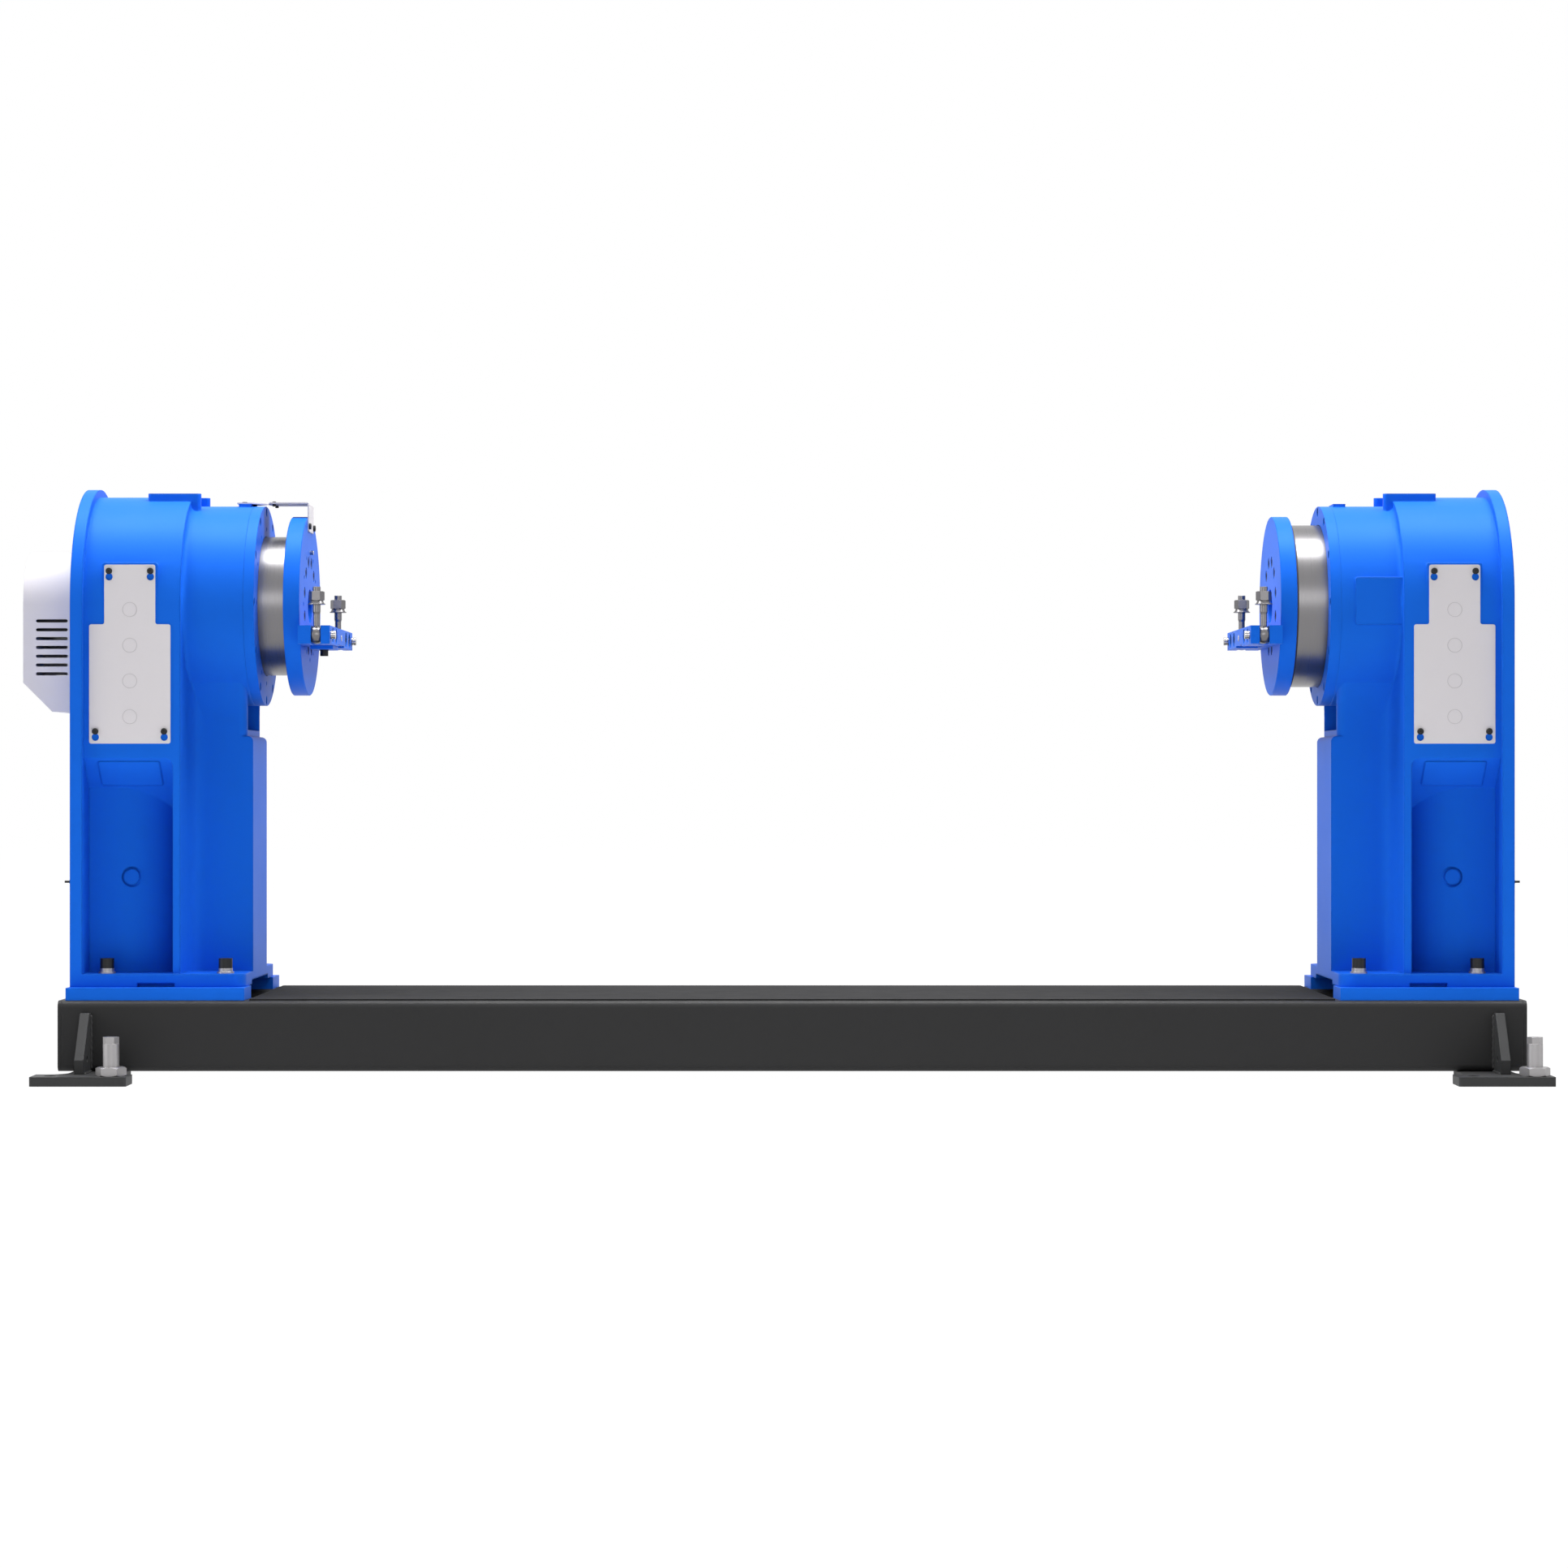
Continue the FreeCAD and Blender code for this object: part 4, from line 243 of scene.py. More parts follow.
class Effects:
    """Node groups with named sockets: each method fills one, which is built once."""

    _built: dict[str, Tree] = {}

    @classmethod
    def group(cls, fill: Fill) -> Tree:
        """Return an effect's node group, building it at its first use.

        Args:
            fill: The method of this class that fills the group.

        Returns:
            The group, ready to be placed in a material.
        """
        name = fill.__name__
        if name not in cls._built:
            cls._built[name] = bpy.data.node_groups.new(name, "ShaderNodeTree")
            fill(cls._built[name])
        return cls._built[name]

    @staticmethod
    def _ends(
        tree: Tree, inputs: dict[str, float | tuple[float, ...]], outputs: dict[str, str]
    ) -> tuple[Node, Node]:
        """Give a group its named sockets.

        Args:
            tree: The group.
            inputs: The default of each input, a number or a colour.
            outputs: The kind of each output: Float, Color or Vector.

        Returns:
            The group's input and output nodes.
        """
        for name, value in inputs.items():
            kind = "NodeSocketFloat" if isinstance(value, float) else "NodeSocketColor"
            tree.interface.new_socket(name, in_out="INPUT", socket_type=kind).default_value = value
        for name, kind in outputs.items():
            tree.interface.new_socket(name, in_out="OUTPUT", socket_type="NodeSocket" + kind)
        return tree.nodes.new("NodeGroupInput"), tree.nodes.new("NodeGroupOutput")

    @classmethod
    def edge_wear(cls, tree: Tree) -> None:
        """Fill the group that finds edges by rounding the normal, with a broken-up mask for edge wear and a
        painted edge highlight.

        Args:
            tree: The empty group.
        """
        start, end = cls._ends(tree, {"Radius": 0.003, "Amount": 0.3}, {"Normal": "Vector", "Mask": "Float"})
        bevel = tree.nodes.new("ShaderNodeBevel")
        bevel.samples = 4
        geometry = tree.nodes.new("ShaderNodeNewGeometry")
        place = tree.nodes.new("ShaderNodeTexCoord")
        dot = tree.nodes.new("ShaderNodeVectorMath")
        dot.operation = "DOT_PRODUCT"
        tree.links.new(start.outputs["Radius"], bevel.inputs["Radius"])
        tree.links.new(bevel.outputs["Normal"], dot.inputs[0])
        tree.links.new(geometry.outputs["Normal"], dot.inputs[1])
        bend = Nodes.ramp(tree, dot.outputs["Value"], 0.985, 0.80)
        broken = Nodes.ramp(tree, Nodes.noise(tree, place.outputs["Object"], 42.0, 5.0), 0.45, 0.62)
        edges = Nodes.calc(tree, "MULTIPLY", bend, broken)
        # The mask marks edges with wear and, on the blue finishes, a painted highlight.
        worn_and_highlit = Nodes.calc(tree, "MULTIPLY", edges, start.outputs["Amount"], True)
        tree.links.new(bevel.outputs["Normal"], end.inputs["Normal"])
        tree.links.new(worn_and_highlit, end.inputs["Mask"])

    @classmethod
    def surface_grain(cls, tree: Tree) -> None:
        """Fill the group that gives a fine height and a drifting roughness.

        Args:
            tree: The empty group.
        """
        inputs = {"Scale": 400.0, "Roughness": 0.4, "Drift": 0.08}
        start, end = cls._ends(tree, inputs, {"Height": "Float", "Roughness": "Float"})
        place = tree.nodes.new("ShaderNodeTexCoord").outputs["Object"]
        fine = Nodes.noise(tree, place, start.outputs["Scale"], 3.0)
        slow = Nodes.noise(tree, place, 6.0, 4.0)
        centred = Nodes.calc(tree, "SUBTRACT", slow, 0.5)
        drift = Nodes.calc(tree, "MULTIPLY", centred, start.outputs["Drift"])
        total = Nodes.calc(tree, "ADD", start.outputs["Roughness"], drift, True)
        tree.links.new(fine, end.inputs["Height"])
        tree.links.new(total, end.inputs["Roughness"])

    @classmethod
    def mottling(cls, tree: Tree) -> None:
        """Fill the group that lets a colour wander a little between a darker and a lighter one.

        Args:
            tree: The empty group.
        """
        inputs = {"Colour": (0.5, 0.5, 0.5, 1.0), "Scale": 5.0, "Spread": 0.06}
        start, end = cls._ends(tree, inputs, {"Colour": "Color"})
        place = tree.nodes.new("ShaderNodeTexCoord").outputs["Object"]
        wander = Nodes.noise(tree, place, start.outputs["Scale"], 6.0)
        centred = Nodes.calc(tree, "SUBTRACT", wander, 0.5)
        gain = Nodes.calc(tree, "ADD", Nodes.calc(tree, "MULTIPLY", centred, start.outputs["Spread"]), 1.0)
        shade = tree.nodes.new("ShaderNodeVectorMath")
        shade.operation = "SCALE"
        tree.links.new(start.outputs["Colour"], shade.inputs[0])
        tree.links.new(gain, shade.inputs["Scale"])
        tree.links.new(shade.outputs["Vector"], end.inputs["Colour"])

    @classmethod
    def dust_film(cls, tree: Tree) -> None:
        """Fill the group that lays a thin broken film on faces that look up.

        Args:
            tree: The empty group.
        """
        start, end = cls._ends(tree, {"Amount": 0.1}, {"Mask": "Float"})
        place = tree.nodes.new("ShaderNodeTexCoord")
        facing = tree.nodes.new("ShaderNodeSeparateXYZ")
        tree.links.new(place.outputs["Normal"], facing.inputs["Vector"])
        upward = Nodes.ramp(tree, facing.outputs["Z"], 0.55, 0.98)
        patches = Nodes.ramp(tree, Nodes.noise(tree, place.outputs["Object"], 18.0, 7.0, 0.65), 0.38, 0.72)
        lying = Nodes.calc(tree, "MULTIPLY", upward, patches)
        film = Nodes.calc(tree, "MULTIPLY", lying, start.outputs["Amount"], True)
        tree.links.new(film, end.inputs["Mask"])

    @classmethod
    def tool_lines(cls, tree: Tree) -> None:
        """Fill the group of fine lines that a turning tool leaves round the X axis.

        Args:
            tree: The empty group.
        """
        inputs = {"Pitch": 900.0, "Roughness": 0.25}
        start, end = cls._ends(tree, inputs, {"Height": "Float", "Roughness": "Float"})
        place = tree.nodes.new("ShaderNodeTexCoord").outputs["Object"]
        parts = tree.nodes.new("ShaderNodeSeparateXYZ")
        tree.links.new(place, parts.inputs["Vector"])
        up = Nodes.calc(tree, "SUBTRACT", parts.outputs["Z"], AXIS_HEIGHT)
        square_y = Nodes.calc(tree, "POWER", parts.outputs["Y"], 2.0)
        square_up = Nodes.calc(tree, "POWER", up, 2.0)
        radius = Nodes.calc(tree, "SQRT", Nodes.calc(tree, "ADD", square_y, square_up))
        rings = tree.nodes.new("ShaderNodeCombineXYZ")
        tree.links.new(parts.outputs["X"], rings.inputs["X"])
        tree.links.new(radius, rings.inputs["Y"])
        fine = Nodes.noise(tree, rings.outputs["Vector"], start.outputs["Pitch"], 4.0, 0.7)
        centred = Nodes.calc(tree, "MULTIPLY", Nodes.calc(tree, "SUBTRACT", fine, 0.5), 0.22)
        total = Nodes.calc(tree, "ADD", start.outputs["Roughness"], centred, True)
        tree.links.new(fine, end.inputs["Height"])
        tree.links.new(total, end.inputs["Roughness"])


# Finishes

DUST_COLOUR = (0.42, 0.41, 0.39)
MOTTLE_SCALE = 5.0


@dataclass(frozen=True)
class Finish:
    """A finish: the numbers of one material, which is built at its first use.

    Attributes:
        name: The material's name.
        colour: Linear base colour.
        roughness: Middle roughness.
        metallic: 1 for bare metal.
        drift: How far the roughness wanders.
        grain_scale: Size of the fine grain, larger is finer.
        bump: Strength of the grain's bump.
        bump_depth: Distance of the bump, in metres.
        spread: How far the colour wanders.
        edge_radius: Radius by which edges look rounded, in metres.
        wear: How strongly the edges are marked as worn, and on the blue finishes lit by a painted highlight.
        wear_colour: Colour of the marked edges, on the blue finishes a painted highlight.
        dust: Amount of dust on upward faces.
        shine: Specular level, 0.5 is an ordinary surface.
        shine_tint: Colour of the mirrored light.
        turned: Whether the grain is a turning tool's lines round the X axis.
    """

    name: str
    colour: Colour
    roughness: float
    metallic: float = 0.0
    drift: float = 0.10
    grain_scale: float = 260.0
    bump: float = 0.10
    bump_depth: float = 0.0004
    spread: float = 0.10
    edge_radius: float = 0.001
    wear: float = 0.0
    wear_colour: Colour = (0.35, 0.35, 0.36)
    dust: float = 0.0
    shine: float = 0.5
    shine_tint: Colour = (1.0, 1.0, 1.0)
    turned: bool = False

    def material(self) -> bpy.types.Material:
        """Return this finish's material, building it once.

        Returns:
            The material, under this finish's name.
        """
        known = bpy.data.materials.get(self.name)
        if known is not None:
            return known
        made = bpy.data.materials.new(self.name)
        made.use_nodes = True
        made.diffuse_color = (*self.colour, 1.0)
        tree = made.node_tree
        shader = tree.nodes["Principled BSDF"]
        shader.inputs["Metallic"].default_value = self.metallic
        shader.inputs["Specular IOR Level"].default_value = self.shine
        shader.inputs["Specular Tint"].default_value = (*self.shine_tint, 1.0)
        base = self._place(tree, Effects.mottling, Scale=MOTTLE_SCALE, Spread=self.spread)
        base.inputs["Colour"].default_value = (*self.colour, 1.0)
        # Edges take wear_colour by the edge mask; on the blue finishes this lighter blue is a painted edge
        # highlight.
        edge = self._place(tree, Effects.edge_wear, Radius=self.edge_radius, Amount=self.wear)
        worn_and_highlit = Nodes.mix(tree, edge.outputs["Mask"], base.outputs["Colour"], self.wear_colour)
        dust = self._place(tree, Effects.dust_film, Amount=self.dust)
        dusty = Nodes.mix(tree, dust.outputs["Mask"], worn_and_highlit, DUST_COLOUR)
        tree.links.new(dusty, shader.inputs["Base Color"])
        if self.turned:
            grain = self._place(tree, Effects.tool_lines, Roughness=self.roughness)
        else:
            grain = self._place(
                tree, Effects.surface_grain, Scale=self.grain_scale, Roughness=self.roughness,
                Drift=self.drift,
            )
        tree.links.new(grain.outputs["Roughness"], shader.inputs["Roughness"])
        bump = tree.nodes.new("ShaderNodeBump")
        bump.inputs["Strength"].default_value = self.bump
        bump.inputs["Distance"].default_value = self.bump_depth
        tree.links.new(grain.outputs["Height"], bump.inputs["Height"])
        tree.links.new(edge.outputs["Normal"], bump.inputs["Normal"])
        tree.links.new(bump.outputs["Normal"], shader.inputs["Normal"])
        return made

    @staticmethod
    def _place(tree: Tree, effect: Fill, **values: float) -> Node:
        """Place one shared effect in the material.

        Args:
            tree: The material's tree.
            effect: The effect's method in Effects.
            values: The numbers of its inputs.

        Returns:
            The group node.
        """
        node = tree.nodes.new("ShaderNodeGroup")
        node.node_tree = Effects.group(effect)
        for key, value in values.items():
            node.inputs[key].default_value = value
        return node

    def dress(self, piece: Piece) -> None:
        """Give a piece this finish and nothing else."""
        piece.data.materials.clear()
        piece.data.materials.append(self.material())


PAINT_BLUE = (0.009, 0.122, 0.68)
PAINT_BLUE_TINT = (0.05, 0.6, 1.0)

# The lighter blue wear_colour of the blue finishes paints a highlight along their edges.
CASTING_BLUE = Finish(
    "casting_blue", PAINT_BLUE, 0.50, shine=0.22, shine_tint=PAINT_BLUE_TINT, grain_scale=130.0, bump=0.16,
    bump_depth=0.0008, edge_radius=0.006, wear=0.10, wear_colour=(0.03, 0.20, 0.80), dust=0.006,
)
MACHINED_BLUE = Finish(
    "machined_blue", PAINT_BLUE, 0.48, shine=0.22, shine_tint=PAINT_BLUE_TINT, grain_scale=420.0, bump=0.05,
    edge_radius=0.0015, wear=0.18, wear_colour=(0.05, 0.24, 0.85), dust=0.006,
)
BEAM_BLACK = Finish(
    "beam_black", (0.014, 0.014, 0.0145), 0.52, shine=0.25, grain_scale=340.0, edge_radius=0.003,
    wear=0.22, wear_colour=(0.085, 0.085, 0.088), dust=0.05,
)
DECK_BLACK = Finish(
    "deck_black", (0.020, 0.020, 0.021), 0.85, shine=0.08, grain_scale=340.0,
    wear=0.22, wear_colour=(0.06, 0.06, 0.062), dust=0.018,
)
FOOT_BLACK = Finish(
    "foot_black", (0.028, 0.0285, 0.029), 0.52, shine=0.25, grain_scale=240.0, bump=0.14, edge_radius=0.003,
    wear=0.25, wear_colour=(0.10, 0.10, 0.105), dust=0.04,
)
COVER_GREY = Finish(
    "cover_grey", (0.66, 0.635, 0.66), 0.48, shine=0.3, grain_scale=520.0, bump=0.06, spread=0.04,
    edge_radius=0.0012, wear=0.20, wear_colour=(0.80, 0.79, 0.80), dust=0.03,
)
# A darker grey than the cover, which paints the shade in the knock-out rings' grooves.
KNOCKOUT_SHADE_GREY = Finish(
    "knockout_grey", (0.47, 0.45, 0.47), 0.55, shine=0.2, grain_scale=520.0, bump=0.06, spread=0.04,
    edge_radius=0.0003,
)
TURNED_STEEL = Finish(
    "turned_steel", (0.205, 0.20, 0.205), 0.30, metallic=1.0, bump=0.14, bump_depth=0.0002, spread=0.05,
    wear=0.3, wear_colour=(0.50, 0.50, 0.50), turned=True,
)
PLAIN_STEEL = Finish(
    "bare_steel", (0.28, 0.275, 0.27), 0.36, metallic=1.0, grain_scale=520.0, bump=0.08,
    wear=0.4, wear_colour=(0.65, 0.65, 0.64), dust=0.02,
)
ZINC_STEEL = Finish(
    "bright_zinc", (0.17, 0.165, 0.17), 0.30, metallic=0.9, grain_scale=700.0, bump=0.08, spread=0.12,
    edge_radius=0.0008, wear=0.4, wear_colour=(0.24, 0.235, 0.24),
)
PLATED_STEEL = Finish(
    "plated_steel", (0.33, 0.32, 0.325), 0.38, metallic=0.8, grain_scale=600.0, bump=0.08, spread=0.12,
    wear=0.4, wear_colour=(0.50, 0.49, 0.50),
)
POLISHED_PIN = Finish(
    "polished_pin", (0.40, 0.39, 0.40), 0.12, metallic=1.0, grain_scale=700.0, bump=0.03,
    edge_radius=0.0008, wear=0.3, wear_colour=(0.8, 0.8, 0.8),
)
BLACK_OXIDE = Finish(
    "black_oxide", (0.007, 0.007, 0.0075), 0.42, shine=0.3, grain_scale=600.0, bump=0.08,
    edge_radius=0.0006, wear=0.3, wear_colour=(0.05, 0.05, 0.052),
)
INSULATOR_BLACK = Finish(
    "insulator_black", (0.014, 0.014, 0.015), 0.55, grain_scale=500.0, edge_radius=0.0006
)
MOTOR_BLACK = Finish(
    "motor_black", (0.03, 0.031, 0.033), 0.45, grain_scale=420.0, edge_radius=0.002,
    wear=0.2, wear_colour=(0.12, 0.12, 0.12), dust=0.05,
)
BEARING_STEEL = Finish(
    "ground_steel", (0.62, 0.61, 0.61), 0.14, metallic=1.0, grain_scale=800.0, bump=0.03,
    edge_radius=0.0008, wear=0.1, wear_colour=(0.8, 0.8, 0.8),
)


# Modelling by hand


class Bench:
    """Modelling steps that every sub-assembly uses."""

    SMOOTH_ANGLE = math.radians(40)

    @staticmethod
    def clear() -> None:
        """Leave edit mode and select nothing."""
        if bpy.context.object is not None and bpy.context.object.mode != "OBJECT":
            bpy.ops.object.mode_set(mode="OBJECT")
        bpy.ops.object.select_all(action="DESELECT")

    @staticmethod
    def hold(piece: Piece) -> None:
        """Make a piece the only selected and the active one.

        Args:
            piece: The piece.
        """
        Bench.clear()
        piece.select_set(True)
        bpy.context.view_layer.objects.active = piece

    @staticmethod
    def name(piece: Piece, name: str) -> None:
        """Give a piece and its mesh the same name."""
        piece.name = name
        piece.data.name = name

    @staticmethod
    def settle(name: str) -> Piece:
        """Name the piece just added and put its place, turn and size into its mesh.

        Args:
            name: The piece's name.

        Returns:
            The piece, unturned at the origin.
        """
        piece = bpy.context.object
        Bench.hold(piece)
        Bench.name(piece, name)
        bpy.ops.object.transform_apply(location=True, rotation=True, scale=True)
        return piece

    @staticmethod
    def cylinder(
        name: str, vertices: int, radius: float, depth: float, centre: Point = ORIGIN, turn: Point = ORIGIN
    ) -> Piece:
        """Model a round bar or, with six vertices, a hexagonal one.

        Args:
            name: The piece's name.
            vertices: Number of steps round it.
            radius: Distance of its corners from its axis.
            depth: Its length.
            centre: Its middle.
            turn: Its rotation away from Z.

        Returns:
            The bar.
        """
        Bench.clear()
        bpy.ops.mesh.primitive_cylinder_add(
            vertices=vertices, radius=radius, depth=depth, location=centre, rotation=turn
        )
        return Bench.settle(name)

    @staticmethod
    def pick_faces(piece: Piece, test: Callable[[Vector, Vector], bool]) -> None:
        """Enter edit mode with exactly the faces that pass a test selected.

        Args:
            piece: The piece to edit.
            test: A function of a face's centre and normal.
        """
        Bench.hold(piece)
        bpy.ops.object.mode_set(mode="EDIT")
        bpy.ops.mesh.select_mode(type="FACE")
        bpy.ops.mesh.select_all(action="DESELECT")
        mesh = bmesh.from_edit_mesh(piece.data)
        for face in mesh.faces:
            face.select_set(test(face.calc_center_median(), face.normal))
        bmesh.update_edit_mesh(piece.data)

    @staticmethod
    def bevel(piece: Piece, width: float, segments: int = 2, angle: float = 35.0) -> None:
        """Round a piece's sharp edges with an applied Bevel modifier, and smooth it by angle.

        Args:
            piece: The piece.
            width: Width of the bevel, in metres.
            segments: Number of steps.
            angle: Edges sharper than this many degrees are rounded.
        """
        Bench.hold(piece)
        modifier = piece.modifiers.new("bevel", "BEVEL")
        modifier.width = width
        modifier.segments = segments
        modifier.limit_method = "ANGLE"
        modifier.angle_limit = math.radians(angle)
        bpy.ops.object.modifier_apply(modifier=modifier.name)
        bpy.ops.object.shade_smooth_by_angle(angle=Bench.SMOOTH_ANGLE)

    @staticmethod
    def cut(piece: Piece, cutter: Piece) -> None:
        """Subtract a cutter from a piece with an applied Boolean modifier, and remove the cutter.

        Args:
            piece: The piece that is cut.
            cutter: The form taken out of it.
        """
        Bench.hold(piece)
        modifier = piece.modifiers.new("cut", "BOOLEAN")
        modifier.operation = "DIFFERENCE"
        modifier.object = cutter
        bpy.ops.object.modifier_apply(modifier=modifier.name)
        bpy.data.objects.remove(cutter)

    @staticmethod
    def copy(piece: Piece, name: str, matrix: Matrix) -> Piece:
        """Copy a piece with a mesh of its own, moved by a matrix that is put into the mesh.

        Args:
            piece: The piece to copy.
            name: The copy's name.
            matrix: The move or turn.

        Returns:
            The copy.
        """
        twin = piece.copy()
        twin.data = piece.data.copy()
        Bench.name(twin, name)
        bpy.context.scene.collection.objects.link(twin)
        twin.data.transform(matrix)
        return twin

    @staticmethod
    def join(pieces: list[Piece], name: str) -> Piece:
        """Join pieces of one body and one finish into a single piece.

        Args:
            pieces: Two pieces or more.
            name: The name of the whole.

        Returns:
            The whole.
        """
        Bench.clear()
        for piece in pieces:
            piece.select_set(True)
        bpy.context.view_layer.objects.active = pieces[0]
        bpy.ops.object.join()
        Bench.name(pieces[0], name)
        return pieces[0]

    @staticmethod
    def fit(piece: Piece, body: str, finish: Finish, slot: str) -> None:
        """Dress a finished piece and let it ride on its body.

        Args:
            piece: The piece.
            body: The body that carries it.
            finish: Its finish.
            slot: Not used.
        """
        finish.dress(piece)
        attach(piece, body)

    @staticmethod
    def dress_nodes(finishes: dict[str, Finish]) -> None:
        """Give CAD nodes their finishes.

        Args:
            finishes: The finish of each node, by the node's name.
        """
        for node, finish in finishes.items():
            finish.dress(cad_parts[node])
            LOG.info("dressed %s as %s", node, finish.name)


# Small hardware that repeats

HEAD_STEPS = 36
SHANK_STEPS = 24
HEXAGON = 6


@dataclass(frozen=True)
class ButtonScrew:
    """A domed socket screw seen on a cover: its head with a hexagon socket.

    The dome's steps are an inset by the head's radius and a rise by its height. The socket's rise is by the
    height, and the rounding by the radius.
    """

    head_radius: float = 0.0070
    head_height: float = 0.0044
    socket_radius: float = 0.0026
    dome: tuple[tuple[float, float], ...] = ((0.22, 0.10), (0.28, 0.06))
    socket_rise: float = 1.06
    rounding: float = 0.06

    def build(self, name: str, seat: Point, facing: Facing) -> Piece:
        """Model one head.

        Args:
            name: The piece's name.
            seat: Centre of the flat seat.
            facing: The way that the dome looks.

        Returns:
            The finished head.
        """
        height = self.head_height
        head = Bench.cylinder(name, HEAD_STEPS, self.head_radius, height, (0, 0, height / 2))
        Bench.pick_faces(head, lambda centre, normal: normal.z > 0.9 and centre.z > height * 0.9)
        for inset, rise in self.dome:
            bpy.ops.mesh.inset(thickness=self.head_radius * inset)
            bpy.ops.transform.translate(value=(0, 0, height * rise))
        bpy.ops.object.mode_set(mode="OBJECT")
        middle = (0, 0, height * self.socket_rise)
        cutter = Bench.cylinder(name + "_cutter", HEXAGON, self.socket_radius, height, middle)
        Bench.cut(head, cutter)
        Bench.bevel(head, self.head_radius * self.rounding)
        head.data.transform(Matrix.Translation(seat) @ facing.matrix)
        return head


SMALL_BUTTON = ButtonScrew(head_radius=0.0042, head_height=0.0026, socket_radius=0.0015)


@dataclass(frozen=True)
class SocketScrew:
    """A cylinder-head screw with a real hexagon socket and its shank.

    The rounding is by the head's radius, and the tip's bevel by the shank's.
    """

    head_radius: float
    head_height: float
    socket_radius: float
    shank_radius: float
    shank_length: float
    head_rounding: float = 0.07
    tip_bevel: float = 0.12

    def build(self, name: str, facing: Facing) -> Piece:
        """Model one screw whose head is seated on the origin.

        Args:
            name: The piece's name.
            facing: The way that the head looks.

        Returns:
            The finished screw.
        """
        height = self.head_height
        head = Bench.cylinder(name, HEAD_STEPS, self.head_radius, height, (0, 0, height / 2))
        cutter = Bench.cylinder(name + "_cutter", HEXAGON, self.socket_radius, height, (0, 0, height))
        Bench.cut(head, cutter)
        Bench.bevel(head, self.head_radius * self.head_rounding)
        middle = (0, 0, -self.shank_length / 2)
        shank = Bench.cylinder(name + "_shank", SHANK_STEPS, self.shank_radius, self.shank_length, middle)
        Bench.bevel(shank, self.shank_radius * self.tip_bevel, 1)
        screw = Bench.join([head, shank], name)
        screw.data.transform(facing.matrix)
        return screw


@dataclass(frozen=True)
class ScrewCircle:
    """Equal screws on a circle round the rotation axis, the first one so many degrees from the top."""

    screw: SocketScrew
    radius: float
    count: int = 12
    first: float = 0.0

    def build(self, name: str, x: float, facing: Facing) -> list[Piece]:
        """Model one screw and copy it round the rotation axis.

        Args:
            name: The beginning of every name.
            x: X of the seats.
            facing: The way that the heads look.

        Returns:
            The screws.
        """
        pattern = self.screw.build(name + "_pattern", facing)
        screws = []
        for index in range(self.count):
            turn = math.radians(self.first + 360.0 * index / self.count)
            place = (x, -self.radius * math.sin(turn), AXIS_HEIGHT + self.radius * math.cos(turn))
            screws.append(Bench.copy(pattern, f"{name}_{index}", Matrix.Translation(place)))
        bpy.data.objects.remove(pattern)
        return screws


@dataclass(frozen=True)
class WeldBead:
    """A fillet weld drawn as a scalloped bead along a straight seam.

    The mean thickness, the swell of each ripple, their difference and the ends' thickness are by the leg.
    """

    leg: float = 0.0045
    ripple: float = 0.0035
    steps: int = 12
    mean: float = 0.86
    swell: float = 0.14
    wander: float = 0.05
    end_share: float = 0.35

    def build(self, name: str, start: Point, end: Point) -> Piece:
        """Model one bead.

        Args:
            name: The piece's name.
            start: Where the bead begins, in the seam's corner.
            end: Where it ends.

        Returns:
            The bead.
        """
        first, last = Vector(start), Vector(end)
        run = last - first
        Bench.clear()
        bpy.ops.mesh.primitive_cylinder_add(
            vertices=self.steps, radius=self.leg, depth=run.length, end_fill_type="TRIFAN"
        )
        bead = Bench.settle(name)
        bpy.ops.object.mode_set(mode="EDIT")
        bpy.ops.mesh.select_all(action="DESELECT")
        mesh = bmesh.from_edit_mesh(bead.data)
        for edge in mesh.edges:
            edge.select_set(abs((edge.verts[0].co - edge.verts[1].co).z) > run.length * 0.9)
        bmesh.update_edit_mesh(bead.data)
        cuts = max(4, int(run.length / self.ripple))
        bpy.ops.mesh.subdivide(number_cuts=cuts)
        bpy.ops.object.mode_set(mode="OBJECT")
        for vertex in bead.data.vertices:
            step = (vertex.co.z / run.length + 0.5) * (cuts + 1)
            thickness = self.mean + self.swell * math.sin(step * QUARTER_TURN)
            thickness += self.wander * math.sin(step * 0.71 + run.length * 40)
            from_end = (0.5 - abs(vertex.co.z) / run.length) * run.length
            taper = min(1.0, from_end / self.leg + self.end_share)
            vertex.co.x *= thickness * taper
            vertex.co.y *= thickness * taper
        bpy.ops.object.shade_smooth()
        turn = run.to_track_quat("Z", "X").to_matrix().to_4x4()
        bead.data.transform(Matrix.Translation((first + last) / 2) @ turn)
        return bead


# The beam on its feet


